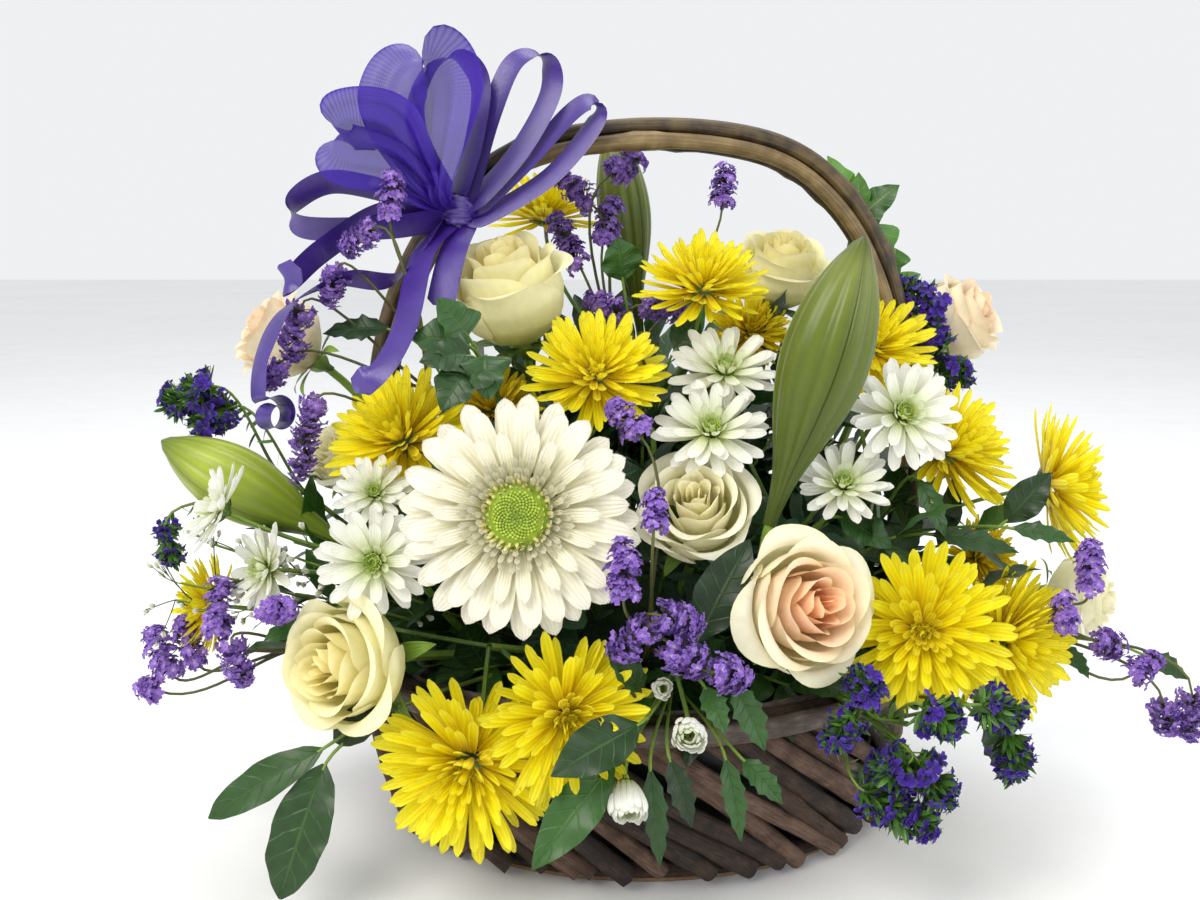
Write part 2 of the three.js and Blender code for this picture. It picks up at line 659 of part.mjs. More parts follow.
function bowSatin() {
  const knot = new THREE.SphereGeometry(1, 7, 4).scale(...KNOT.half).translate(...KNOT.at);
  const loop = (points, across) => ribbon(points, RIBBON.satin, across, across, 7);
  const tail = (points, across, end, steps = 4) => ribbon(points, RIBBON.satin, across, end, steps);
  return joined([
    solidOf(knot),
    handleTie(),
    loop([[-94, -26, 297], [-118, -32, 293], [-158, -30, 293], [-164, -26, 303], [-146, -24, 314],
      [-116, -22, 309], [-96, -20, 305]], [0.1, -0.8, 0.5]),
    loop([[-91, -22, 308], [-106, -20, 345], [-99, -14, 373], [-86, -12, 381], [-76, -14, 366],
      [-80, -20, 335], [-86, -22, 309]], [0.5, -0.85, 0]),
    loop([[-82, -22, 308], [-71, -18, 345], [-60, -12, 370], [-46, -10, 372], [-43, -12, 356],
      [-58, -19, 328], [-79, -23, 305]], [0.4, -0.85, -0.2]),
    loop([[-78, -22, 302], [-56, -20, 322], [-34, -14, 346], [-23, -12, 352], [-22, -14, 342],
      [-44, -21, 316], [-77, -24, 297]], [0.1, -0.9, 0.3]),
    tail([[-92, -26, 293], [-101, -44, 280], [-105, -74, 250], [-114, -88, 232], [-126, -86, 226]],
      [0.9, -0.3, 0.1]),
    tail([[-84, -26, 293], [-88, -40, 280], [-92, -54, 258]], [0.8, 0.2, 0.3], undefined, 2),
    tail([[-97, -22, 299], [-122, -34, 298], [-146, -48, 282], [-160, -56, 268], [-154, -62, 277]],
      [0.2, -0.3, 0.9]),
    tail([[-95, -27, 294], [-112, -46, 270], [-136, -54, 270], [-158, -60, 258], [-174, -62, 238],
      [-170, -64, 216], [-160, -68, 208], [-172, -72, 204]], [0.6, -0.4, 0.7], [0.2, -0.9, 0.4], 7),
  ]);
}

/** Band of ribbon round the three rods of the handle. */
function handleTie() {
  const path = handlePath([0, 0], [0, TIE.off]);
  const middle = path.getPointAt(TIE.share);
  const outline = new THREE.Shape().absarc(0, 0, TIE.outer, 0, Math.PI * 2);
  outline.holes.push(new THREE.Path().absarc(0, 0, TIE.inner, 0, Math.PI * 2));
  const options = { depth: RIBBON.satin, bevelEnabled: false, curveSegments: 6 };
  const geometry = new THREE.ExtrudeGeometry(outline, options).translate(0, 0, -RIBBON.satin / 2);
  const turn = new THREE.Quaternion().setFromUnitVectors(new THREE.Vector3(0, 0, 1),
    path.getTangentAt(TIE.share));
  return solidOf(geometry.applyQuaternion(turn).translate(middle.x, middle.y, middle.z));
}

function bowOrganza() {
  const loop = (points, across) => ribbon(points, RIBBON.organza, across, across, 7);
  return joined([
    loop([[-100, -39, 308], [-114, -47, 320], [-136, -51, 326], [-136, -49, 338], [-114, -47, 338],
      [-100, -41, 316]], [0.3, -0.6, 0.7]),
    loop([[-98, -39, 308], [-113, -41, 345], [-108, -39, 374], [-94, -37, 380], [-88, -37, 360],
      [-94, -39, 309]], [0.8, -0.6, 0.1]),
  ]);
}

// ---------------------------------------------------------------- flowers

const STRAP = [[0.55, 1]];

function yellowMum({ at, faces, size, count }, seed) {
  const scale = size / 70;
  const row = { width: 7.4 * scale, thick: 2, bend: 0.12, uneven: 0.16 };
  return head({
    at: vector(at), axis: facing(faces), count, seed,
    bottom: -7 * scale, top: 13 * scale,
    rings: [[8, -3], [10, 2.5], [8.5, 7.5], [5, 11]].map(([r, h]) => [r * scale, h * scale]),
    rows: [
      { ...row, length: 27 * scale, rise: 0.12, stations: STRAP },
      { ...row, length: 23 * scale, rise: 0.52, bend: 0, stations: [] },
      { ...row, length: 13 * scale, rise: 1.0, bend: 0, stations: [] },
    ],
  });
}

function whiteMum({ at, faces, size, count, bud = false }, seed) {
  const scale = size / 48;
  const row = { width: 6.6 * scale, thick: 1.6, bend: 0.05, uneven: 0.1 };
  const tall = bud ? 2.4 : 1;
  return head({
    at: vector(at), axis: facing(faces), count, seed,
    bottom: -4 * scale, top: 8.5 * scale * tall,
    rings: [[5, -2], [7.4, 1.5], [5.6, 6 * tall]].map(([r, h]) => [r * scale, h * scale]),
    rows: bud ? [
      { ...row, length: 17 * scale, rise: 1.25, bend: 0.1, stations: [] },
      { ...row, length: 10 * scale, rise: 1.35, bend: 0, stations: [] },
    ] : [
      { ...row, length: 18 * scale, rise: 0.1, stations: [[0.7, 1]] },
      { ...row, length: 13 * scale, rise: 0.5, bend: 0, stations: [] },
    ],
  });
}

function gerberaPetals({ at, faces, size, count }) {
  const scale = size / 102;
  const row = { width: 9.4 * scale, thick: 1.7, uneven: 0.08 };
  return head({
    at: vector(at), axis: facing(faces), count, seed: 5,
    bottom: -6 * scale, top: 3 * scale,
    rings: [[9, -4.5], [14, -1], [13.5, 3]].map(([r, h]) => [r * scale, h * scale]),
    rows: [
      { ...row, length: 40 * scale, rise: 0.02, bend: 0.02, stations: [[0.45, 0.85], [0.85, 0.95]] },
      { ...row, length: 27 * scale, rise: 0.2, bend: 0, stations: [] },
    ],
  });
}

function gerberaDisc({ at, faces, size }) {
  const scale = size / 102;
  const row = { width: 2, thick: 1.4, bend: 0, uneven: 0.2, stations: [] };
  return head({
    at: vector(at), axis: facing(faces), count: 12, seed: 6,
    bottom: 3 * scale + GAP, top: 8.4 * scale,
    rings: [[11, 3.4 * scale + GAP], [11.6, 5.6], [9.2, 8.2], [5.6, 9]].map(([r, h]) => [r * scale, h]),
    rows: [
      { ...row, length: 7 * scale, rise: 0.5 },
      { ...row, length: 4.5 * scale, rise: 0.9 },
      { ...row, length: 1.8 * scale, rise: 1.2 },
    ],
  });
}

/**
 * Rose head: petals in three layers that lie round each other. Every layer runs up to a scalloped
 * rim and down again into the fold before the next layer.
 */
function roseHead({ at, faces, size }, seed) {
  const draw = random(seed);
  const count = 12;
  const shell = new Shell();
  const axis = facing(faces);
  const [u, v] = frameOf(axis);
  const half = size / 2;
  const ring = (radius, height, lobe = null) => Array.from({ length: count }, (_, i) => {
    const notch = lobe && (i + lobe.shift) % lobe.every === 0;
    const far = (notch ? lobe.radius : radius) * half * (1 + (lobe ? 0.05 * (draw() - 0.5) : 0));
    const high = (notch ? lobe.height : height) * half;
    const angle = ((i + (lobe ? 0.2 : 0)) / count) * Math.PI * 2;
    const point = sum(vector(at), axis, high).addScaledVector(u, far * Math.cos(angle));
    return shell.add(point.addScaledVector(v, far * Math.sin(angle)));
  });
  const rounds = [
    ring(0.62, -0.6),
    ring(1, 0.3, { every: 3, shift: 0, radius: 0.8, height: 0.05 }), ring(0.72, 0),
    ring(0.7, 0.62, { every: 3, shift: 1, radius: 0.64, height: 0.34 }), ring(0.5, 0.22),
    ring(0.42, 0.74, { every: 4, shift: 2, radius: 0.37, height: 0.5 }), ring(0.22, 0.42),
  ];
  for (let level = 1; level < rounds.length; level += 1) shell.wall(rounds[level - 1], rounds[level]);
  shell.fan(rounds[rounds.length - 1], shell.add(sum(vector(at), axis, half * 0.6)), true);
  const bottom = shell.add(sum(vector(at), axis, -half * 0.86));
  rounds[0].forEach((a, i) => {
    const face = [rounds[0][(i + 1) % count], a, bottom];
    if (i % 3) {
      shell.faces.push(face);
      return;
    }
    const angle = ((i + 0.5) / count) * Math.PI * 2;
    const outward = u.clone().multiplyScalar(Math.cos(angle)).addScaledVector(v, Math.sin(angle));
    const tip = sum(sum(vector(at), axis, -half * 0.86), outward, half * 0.78);
    shell.grow(face, { sections: [], tip });
  });
  return shell.solid();
}

/** Closed lily bud: a long spindle with three ribs. */
function lilyBud({ foot, tip, width }) {
  const profile = [[0, 0.13], [0.12, 0.17], [0.3, 0.55], [0.55, 0.98], [0.76, 0.9], [0.92, 0.48]];
  const sides = 6;
  const [start, end] = [vector(foot), vector(tip)];
  const axis = end.clone().sub(start).normalize();
  const length = start.distanceTo(end);
  const [u, v] = frameOf(axis);
  const shell = new Shell();
  const rings = profile.map(([share, wide]) => Array.from({ length: sides }, (_, i) => {
    const angle = (i / sides) * Math.PI * 2;
    const radius = (width / 2) * wide * (i % 2 ? 0.86 : 1);
    return shell.add(sum(start, axis, length * share).addScaledVector(u, radius * Math.cos(angle))
      .addScaledVector(v, radius * Math.sin(angle)));
  }));
  for (let i = 1; i < rings.length; i += 1) shell.wall(rings[i - 1], rings[i]);
  shell.fan(rings[0], shell.add(sum(start, axis, -1)), false);
  shell.fan(rings[rings.length - 1], shell.add(end), true);
  return shell.solid();
}

/** Stalk from a fork with a spike of crinkled florets: a slim core that the florets stand out of. */
function floretBranch(hub, from, to, width, bow, seed) {
  const axis = to.clone().sub(from);
  const length = axis.length();
  axis.normalize();
  const levels = Math.max(2, Math.min(3, Math.round(length / (width * 0.7))));
  const core = width * 0.24;
  const shell = new Shell();
  const away = from.clone().sub(hub).normalize();
  const arriving = axis.clone().add(away).normalize();
  const curve = stalkCurve(hub, sum(from, axis, -core), arriving, bow);
  const last = stalk(shell, curve, STEM.twiglet, frameOf(axis)[0], axis);
  const row = { width: 1, thick: 1, bend: 0, uneven: 0.35, stations: [], rise: 0.35, length: width * 0.42 };
  return head({
    at: from, axis, count: 3, top: length + core, seed, shell, from: last,
    rings: Array.from({ length: levels + 1 }, (_, i) => [core, (length * i) / levels]),
    rows: Array.from({ length: levels }, () => row),
  });
}

// ---------------------------------------------------------------- plants with several parts

// Sprays of limonium and statice: aim on the foam, fork, colour, and spikes of [from, to, width].
const SPRAYS = {
  limonium_upper_left: {
    color: 0x8a6fb5, aim: [-70, -20, 110], fork: [-104, -50, 262], spikes: [
      [[-112, -52, 316], [-114, -50, 299], 11], [[-122, -52, 292], [-134, -52, 283], 11],
      [[-138, -54, 274], [-142, -52, 260], 11], [[-157, -46, 256], [-162, -48, 234], 13],
      [[-166, -50, 232], [-173, -52, 222], 11], [[-149, -62, 214], [-156, -64, 182], 12]],
  },
  limonium_far_left: {
    color: 0x8f78bd, aim: [-75, -30, 80], fork: [-176, -76, 104], spikes: [
      [[-228, -62, 108], [-222, -60, 88], 14], [[-215, -58, 112], [-211, -56, 92], 13],
      [[-236, -62, 82], [-228, -60, 78], 11], [[-188, -84, 138], [-190, -86, 116], 12],
      [[-182, -92, 112], [-177, -96, 96], 12], [[-161, -106, 132], [-150, -110, 134], 10]],
  },
  limonium_back: {
    color: 0x7f66b8, aim: [-5, 20, 120], fork: [-14, 14, 250], spikes: [
      [[-39, 22, 318], [-24, 20, 305], 13], [[-13, 22, 307], [-18, 20, 288], 13],
      [[-43, 18, 298], [-31, 10, 276], 14], [[-14, 18, 320], [0, 20, 328], 16],
      [[48, 72, 326], [47, 70, 308], 13], [[2, -6, 256], [20, -4, 254], 13],
      [[-26, -4, 258], [-10, -4, 252], 13]],
  },
  limonium_front: {
    color: 0x8a72c4, aim: [0, -60, 90], fork: [2, -120, 128], spikes: [
      [[-11, -148, 172], [-11, -152, 152], 12], [[2, -138, 190], [1, -142, 178], 9],
      [[-14, -150, 128], [-2, -150, 139], 13], [[4, -150, 144], [18, -148, 140], 13],
      [[8, -150, 132], [20, -150, 122], 15], [[26, -150, 121], [38, -148, 119], 14],
      [[-14, -92, 218], [-4, -94, 207], 14]],
  },
  limonium_right: {
    color: 0x9079c2, aim: [80, -15, 80], fork: [206, -36, 112], spikes: [
      [[202, -70, 152], [203, -70, 132], 12], [[188, -78, 130], [190, -78, 116], 11],
      [[208, -70, 106], [220, -70, 102], 13], [[226, -70, 90], [236, -70, 98], 12],
      [[241, -70, 76], [244, -70, 62], 12], [[254, -70, 80], [255, -70, 60], 12]],
  },
  statice_left: {
    color: 0x4b3a9e, aim: [-80, 0, 96], fork: [-176, -26, 176], spikes: [
      [[-224, -32, 210], [-206, -30, 218], 17], [[-212, -32, 200], [-198, -28, 208], 16],
      [[-221, -56, 155], [-219, -56, 142], 10]],
  },
  statice_right_back: {
    color: 0x4b37a8, aim: [60, 10, 110], fork: [132, 12, 214], spikes: [
      [[130, 8, 264], [146, 6, 253], 18], [[136, 6, 244], [152, 4, 236], 17],
      [[150, 4, 222], [164, 2, 222], 17]],
  },
  statice_front_right: {
    color: 0x4a35a5, aim: [55, -50, 60], fork: [106, -132, 92], spikes: [
      [[84, -140, 116], [86, -142, 104], 12], [[110, -144, 104], [120, -146, 96], 16],
      [[134, -142, 104], [148, -134, 98], 15], [[74, -142, 88], [80, -142, 98], 11],
      [[92, -142, 75], [103, -144, 80], 16], [[110, -142, 78], [120, -142, 64], 17],
      [[88, -140, 66], [112, -142, 52], 16], [[150, -126, 84], [154, -124, 66], 14]],
  },
};

const JOINT_SPACING = 13;

// Changes that a branch tries to pass its neighbours: bow of the stalk, growth and lift of its end.
const BRANCH_TRIES = [0, 5, -5].flatMap((lift) => [1, 0.8, 0.6].flatMap((share) => (
  [[0, 0], [9, 0], [-9, 0], [0, 9], [0, -9], [16, 12], [-16, 12], [16, -12], [-16, -12]]
    .map((bow) => ({ bow, share, lift })))));

/** Spray with forked branches that end in spikes of florets. */
function spray({ aim, fork, spikes }, seed) {
  const end = vector(fork);
  const trunk = rooted(vector(aim), end, end.clone().sub(vector(aim)).normalize(), STEM.spray);
  const branches = spikes.map(([from, to, width], i) => {
    const hub = joint(trunk, i);
    const make = ({ bow, share, lift }) => {
      const ends = [from, to].map(([x, y, z]) => new THREE.Vector3(x, y, z + lift));
      const [start, tip] = ends.sort((a, b) => a.distanceTo(hub) - b.distanceTo(hub));
      return { solid: floretBranch(hub, start, tip, width * share, bow, seed * 31 + i) };
    };
    return roomFor(make);
  }).filter((branch) => branch);
  return joined([trunk.solid, ...branches]);
}

/** Where a branch leaves its stem: at the end, and every two further ones a little lower. */
function joint({ joints }, index) {
  let left = JOINT_SPACING * Math.floor((index + 1) / 2);
  for (let i = 1; i < joints.length - 1; i += 1) {
    const length = joints[i - 1].distanceTo(joints[i]);
    if (left <= length) return joints[i - 1].clone().lerp(joints[i], left / length);
    left -= length;
  }
  return joints[joints.length - 2].clone();
}

/** A branch bowed, shortened or lifted until it is clear, or nothing where there is no room. */
function roomFor(make) {
  return firstClear(BRANCH_TRIES, make, [])?.solid ?? null;
}

// Yellow chrysanthemum stems: aim on the foam, fork, heads, and leaves of [base, tip, width].
const MUM_STEMS = {
  yellow_mum_stem_back: {
    aim: [10, 10, 120], fork: [6, 18, 200],
    heads: ['yellow_mum_1', 'yellow_mum_2', 'yellow_mum_15'],
    leaves: [[[-9, -12, 268], [-12, -18, 288], 19], [[28, -8, 250], [16, -14, 234], 14]],
  },
  yellow_mum_stem_left: {
    aim: [-40, -30, 110], fork: [-62, -36, 160],
    heads: ['yellow_mum_3', 'yellow_mum_4', 'yellow_mum_5'],
    leaves: [[[-116, -44, 247], [-147, -44, 245], 13], [[11, -46, 226], [-5, -50, 217], 12],
      [[-49, -64, 206], [-72, -70, 196], 16]],
  },
  yellow_mum_stem_right: {
    aim: [70, -10, 90], fork: [118, -18, 150],
    heads: ['yellow_mum_6', 'yellow_mum_7', 'yellow_mum_8', 'yellow_mum_14'],
    leaves: [[[168, -54, 158], [186, -58, 182], 15], [[170, -56, 156], [196, -66, 152], 10],
      [[134, -52, 152], [172, -62, 146], 12], [[128, -48, 178], [140, -56, 152], 12]],
  },
  yellow_mum_stem_low_right: {
    aim: [60, -35, 90], fork: [112, -66, 108],
    heads: ['yellow_mum_9', 'yellow_mum_10'],
    leaves: [[[240, -48, 92], [256, -60, 84], 12], [[148, -100, 78], [158, -112, 56], 13],
      [[200, -52, 98], [208, -64, 86], 9]],
  },
  yellow_mum_stem_low_left: {
    aim: [-30, -50, 90], fork: [-68, -100, 114],
    heads: ['yellow_mum_11', 'yellow_mum_12', 'yellow_mum_13'],
  },
};

const WHITE_LEAVES = {
  white_mum_spray_right: [[[90, -58, 162], [112, -68, 150], 16], [[50, -60, 176], [46, -76, 158], 15]],
  white_mum_spray_left: [[[-146, -92, 124], [-164, -104, 118], 12]],
  white_mum_spray_front: [[[-4, -146, 98], [-38, -167, 86], 19], [[-14, -144, 82], [-46, -164, 46], 18],
    [[-2, -132, 104], [-18, -146, 130], 13], [[0, -142, 78], [4, -152, 40], 10],
    [[8, -138, 80], [17, -146, 54], 11], [[22, -136, 110], [30, -146, 94], 11],
    [[34, -134, 110], [46, -144, 86], 13], [[31, -136, 80], [37, -146, 48], 10],
    [[38, -134, 78], [54, -142, 62], 11], [[20, -122, 124], [42, -112, 164], 20]],
};

// Leafy sprigs: aim on the foam, fork, leaves of [base, tip, width], and how the blades are cut.
const SPRIGS = {
  leaf_sprig_low_left: {
    aim: [-60, -70, 90], fork: [-116, -112, 88], blade: 'large',
    leaves: [[[-138, -116, 74], [-185, -124, 47], 17], [[-137, -118, 68], [-154, -134, 16], 25],
      [[-134, -112, 76], [-112, -112, 90], 16]],
  },
  ivy_sprig_right: {
    aim: [60, 10, 120], fork: [109, 21, 290], blade: 'ivy',
    leaves: [[[108, 20, 297], [94, 18, 328], 26], [[109, 20, 296], [109, 16, 320], 20],
      [[110, 20, 297], [129, 16, 314], 24], [[122, 16, 268], [116, 12, 295], 28],
      [[124, 14, 266], [128, 12, 283], 18], [[127, 22, 262], [144, 24, 270], 16]],
  },
  ivy_sprig_left: {
    aim: [-30, -20, 120], fork: [-72, -66, 232], blade: 'ivy',
    leaves: [[[-77, -72, 242], [-102, -74, 246], 30], [[-76, -76, 238], [-97, -84, 236], 26],
      [[-78, -70, 246], [-91, -70, 262], 24], [[-75, -78, 236], [-88, -88, 216], 30],
      [[-70, -78, 238], [-68, -86, 220], 24]],
  },
  foliage_back_left: { aim: [-40, 45, 110], fork: [-50, 74, 168], from: 94, to: 166 },
  foliage_back_right: { aim: [40, 45, 110], fork: [50, 74, 168], from: 14, to: 86 },
};

// Size of the leafy back, as half axes from the foam's middle, and its leaves.
const BACK = { x: 118, y: 78, z: 122, middle: 96, rows: [-4, 24, 50], perRow: 3, length: 64, width: 38 };

// Share of a leaf's length that is bare stalk.
const PETIOLE = 0.18;

/** Leaves of a plant on the stalks that join them to its fork. */
function leaves(trunk, list, cut = BLADES.plain, taken = 0) {
  return list.map(([from, to, width, up = [0.1, -0.75, 0.6]], i) => {
    const hub = joint(trunk, taken + i);
    const make = ({ bow, share, lift }) => {
      const ends = [from, to].map(([x, y, z]) => new THREE.Vector3(x, y, z + lift));
      const [start, end] = ends.sort((a, b) => a.distanceTo(hub) - b.distanceTo(hub));
      const run = end.clone().sub(start);
      const base = sum(start, run, PETIOLE);
      const tip = sum(base, run, (1 - PETIOLE) * share);
      return { solid: stalkedLeaf(hub, base, tip, width * share, vector(up), bow, cut) };
    };
    return roomFor(make);
  }).filter((blade) => blade);
}

/** Leaves of the back, in rows over a rounded outline, pointing outwards and up. */
function backLeaves({ from, to }) {
  return BACK.rows.toReversed().flatMap((degrees, row) => {
    const rise = THREE.MathUtils.degToRad(degrees);
    return Array.from({ length: BACK.perRow }, (_, i) => {
      const share = (i + (row % 2 ? 0.8 : 0.25)) / BACK.perRow;
      const turn = THREE.MathUtils.degToRad(from + (to - from) * share);
      const out = new THREE.Vector3(Math.cos(turn) * Math.cos(rise), Math.sin(turn) * Math.cos(rise),
        Math.sin(rise));
      const base = new THREE.Vector3(out.x * BACK.x, out.y * BACK.y, BACK.middle + out.z * BACK.z);
      const along = out.clone().setZ(0.35 + 0.5 * Math.sin(rise)).normalize();
      const up = new THREE.Vector3(-out.x * 0.4, -out.y * 0.4, 1);
      return [base.toArray(), sum(base, along, BACK.length).toArray(), BACK.width, up.toArray()];
    });
  });
}

/** Branched stem whose branches end just behind the heads it carries. */
function carrier({ aim, fork, heads, leaves: blades = [] }) {
  const hub = vector(fork);
  const out = hub.clone().sub(vector(aim)).normalize();
  const trunk = rooted(vector(aim), hub, out, STEM.mum);
  const branches = heads.map((title, i) => {
    const { at, faces, size, down } = YELLOW_MUMS[title];
    const axis = facing(faces);
    const arriving = down ? vector(down) : axis;
    const end = sum(vector(at), axis, -size / 10 - GAP - 0.2);
    const start = joint(trunk, i);
    const away = end.clone().sub(start).normalize();
    return stem(start, away, end, arriving, STEM.branch, { sides: 3, stiff: 0.34 }).solid;
  });
  return joined([trunk.solid, ...branches,
    ...leaves(trunk, blades, BLADES.plain, branches.length)]);
}

function whiteSpray(name, { aim, fork, heads }) {
  const hub = vector(fork);
  const out = hub.clone().sub(vector(aim)).normalize();
  const trunk = rooted(vector(aim), hub, out, STEM.spray, { except: [name] });
  const branches = heads.map(({ at, faces, size }, i) => {
    const axis = facing(faces);
    const end = sum(vector(at), axis, -size * 0.04);
    const start = joint(trunk, i);
    const away = end.clone().sub(start).normalize();
    return stem(start, away, end, axis, STEM.branch, { except: [name], sides: 3, stiff: 0.34 }).solid;
  });
  const blades = leaves(trunk, WHITE_LEAVES[name], BLADES.plain, branches.length);
  return joined([placed.get(name), trunk.solid, ...branches, ...blades]);
}

// ---------------------------------------------------------------- the arrangement, in order

const TWIG_BROWN = 0x4a3b31;
const LEAF_GREEN = 0x2f5326;
const STEM_GREEN = 0x6b8a35;
const BUD_GREEN = 0x8f9f3a;
const WHITE = 0xf4f5ea;

place('basket_wall', basketWall(), TWIG_BROWN);
place('basket_floor', basketFloor(), 0x5a4838);
place('liner', liner(), 0x2c3a2c);
place('foam', foam(), 0x3f6b3c);
place('handle_rod_outer', handleRod([0, 0], [0, 7.2]), 0x6d5732);
place('handle_rod_front', handleRod([-9.2, -4.6], [0, 0]), 0x62502f);
place('handle_rod_back', handleRod([9.2, 4.6], [0, 0]), 0x62502f);
place('bow_satin', bowSatin(), 0x5b36a0);
place('bow_organza', bowOrganza(), 0x6a4fc0);

for (const [name, bud] of Object.entries(LILIES)) place(name, lilyBud(bud), BUD_GREEN);
place('gerbera_petals', gerberaPetals(GERBERA), 0xf6f4e6);
place('gerbera_disc', gerberaDisc(GERBERA), 0xb7bd45);
Object.entries(ROSES).forEach(([name, rose], i) => place(name, roseHead(rose, i + 1), rose.color));
Object.entries(WHITE_SPRAYS).forEach(([name, { heads }], i) => {
  const made = [];
  heads.forEach((one, j) => {
    made.push(whiteMum(one, i * 10 + j + 3));
    place(name, wasm.Manifold.compose(made), WHITE);
  });
});
Object.entries(YELLOW_MUMS).forEach(([name, mum], i) => place(name, yellowMum(mum, i + 40), 0xf2cf12));

const gerberaAxis = facing(GERBERA.faces);
const gerberaBack = sum(vector(GERBERA.at), gerberaAxis, -6 - GAP - 0.2);
const gerberaStem = rooted(vector(GERBERA.aim), gerberaBack, gerberaAxis, STEM.gerbera, { sides: 6 });
place('gerbera_stem', gerberaStem.solid, STEM_GREEN);

for (const [name, { at, faces, size, color }] of Object.entries(ROSES)) {
  const axis = facing(faces);
  const aim = vector(at).multiplyScalar(0.6).setZ(80 + at[2] * 0.2);
  const neck = sum(vector(at), axis, -size * 0.4);
  const run = rooted(aim, neck, axis, STEM.rose, { except: [name] });
  place(name, joined([placed.get(name), run.solid]), color);
}

for (const [name, { foot, tip, aim }] of Object.entries(LILIES)) {
  const axis = vector(tip).sub(vector(foot)).normalize();
  const run = rooted(vector(aim), sum(vector(foot), axis, 2), axis, STEM.lily, { except: [name] });
  place(name, joined([placed.get(name), run.solid]), BUD_GREEN);
}

for (const [name, plan] of Object.entries(MUM_STEMS)) place(name, carrier(plan), STEM_GREEN);
for (const [name, plan] of Object.entries(WHITE_SPRAYS)) {
  place(name, whiteSpray(name, plan), WHITE);
}
Object.entries(SPRAYS).forEach(([name, plan], i) => place(name, spray(plan, i + 1), plan.color));

for (const [name, plan] of Object.entries(SPRIGS)) {
  const hub = vector(plan.fork);
  const out = hub.clone().sub(vector(plan.aim)).normalize();
  const trunk = rooted(vector(plan.aim), hub, out, STEM.spray);
  const blades = leaves(trunk, plan.leaves ?? backLeaves(plan), BLADES[plan.blade]);
  place(name, joined([trunk.solid, ...blades]), LEAF_GREEN);
}

placed.set('foam', foam());

const arrangement = new THREE.Group();
for (const [name, solid] of placed) {
  const material = new THREE.MeshStandardMaterial({ color: colors.get(name), roughness: 0.7, metalness: 0 });
  const mesh = new THREE.Mesh(geometryOf(solid), material);
  mesh.name = name;
  arrangement.add(mesh);
}

export default arrangement;
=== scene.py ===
"""Flower basket arrangement, dressed for rendering.

The plan of the arrangement (what stands where, and how large it is) is given in millimetres, in the
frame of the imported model: +Z up, front towards -Y, origin in the middle of the basket's underside.
Every piece is a mesh built from grids of points, in metres, and rides on the one body of the model.
"""

import logging
import math
from dataclasses import dataclass, replace
from enum import Enum
from typing import Sequence

import bpy
import numpy as np
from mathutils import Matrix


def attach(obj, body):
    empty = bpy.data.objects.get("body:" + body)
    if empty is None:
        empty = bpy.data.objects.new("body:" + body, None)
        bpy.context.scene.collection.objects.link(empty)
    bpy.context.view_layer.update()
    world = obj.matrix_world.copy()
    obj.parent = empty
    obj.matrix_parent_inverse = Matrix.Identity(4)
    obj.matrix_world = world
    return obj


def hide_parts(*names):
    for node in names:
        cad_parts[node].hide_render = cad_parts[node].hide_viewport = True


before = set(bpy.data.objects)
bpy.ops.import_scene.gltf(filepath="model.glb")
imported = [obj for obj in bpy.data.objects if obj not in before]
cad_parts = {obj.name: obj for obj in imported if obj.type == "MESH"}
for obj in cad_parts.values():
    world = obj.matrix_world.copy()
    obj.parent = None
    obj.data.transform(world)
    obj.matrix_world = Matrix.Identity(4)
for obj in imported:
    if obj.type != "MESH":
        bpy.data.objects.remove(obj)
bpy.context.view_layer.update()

LOG = logging.getLogger("flower_basket")
MM = 0.001
Point = Sequence[float]
Array = np.ndarray
Draws = np.random.Generator
Material = bpy.types.Material
Tree = bpy.types.NodeTree
Socket = bpy.types.NodeSocket
Stops = tuple[tuple[float, str], ...]

# Turn from one leaf or floret to the next round a stem, and from one disc floret to the next, in radians.
STEM_TURN = 2.4
DISC_TURN = math.pi * (3 - math.sqrt(5))

# The marks that each point of a mesh carries for the finishes.
MARKS = ("along", "across", "tone", "layer")

# A colour mix takes its two colours at sockets 6 and 7, and gives the result at 2.
MIXED = {"data_type": "RGBA", "out": 2}


# -------------------------------------------------------------------- small vector helpers


def vec(values: object) -> Array:
    """Numbers or points as an array of floats."""
    return np.asarray(values, float)


def norm(vector: Array) -> float:
    """Length of a vector."""
    return float(np.linalg.norm(vector))


def unit(vector: Point) -> Array:
    """A vector scaled to length one."""
    vector = vec(vector)
    return vector / max(norm(vector), 1e-12)


def facing(azimuth: float, elevation: float) -> Array:
    """Unit vector at an azimuth from the front, positive to the right, and an elevation, in degrees."""
    a, e = math.radians(azimuth), math.radians(elevation)
    return np.array([math.sin(a) * math.cos(e), -math.cos(a) * math.cos(e), math.sin(e)])


def frame_of(axis: Point) -> tuple[Array, Array]:
    """Two unit vectors that make a right-handed frame with an axis."""
    axis = unit(axis)
    helper = np.array([0.0, 1.0, 0.0]) if abs(axis[2]) > 0.9 else np.array([0.0, 0.0, 1.0])
    u = unit(np.cross(helper, axis))
    return u, unit(np.cross(axis, u))


def around(axis: Point, angle: float) -> Array:
    """The direction away from an axis at an angle round it."""
    u, v = frame_of(axis)
    return u * math.cos(angle) + v * math.sin(angle)


def turned(at: Point, axis: Point, sides: int, radii: Array, heights: Array) -> Array:
    """Points of a piece turned round an axis, from the radius and height of each of its rings."""
    u, v = frame_of(axis)
    turn = np.arange(sides) / sides * 2 * math.pi
    ring = u * np.cos(turn)[:, None] + v * np.sin(turn)[:, None]
    return vec(at) + ring[None] * radii[:, None, None] + axis * heights[:, None, None]


def nearest_first(hub: Point, first: Point, last: Point) -> list[Array]:
    """Two points, with the one that is nearer to a hub first."""
    return sorted((vec(first), vec(last)), key=lambda end: norm(end - hub))


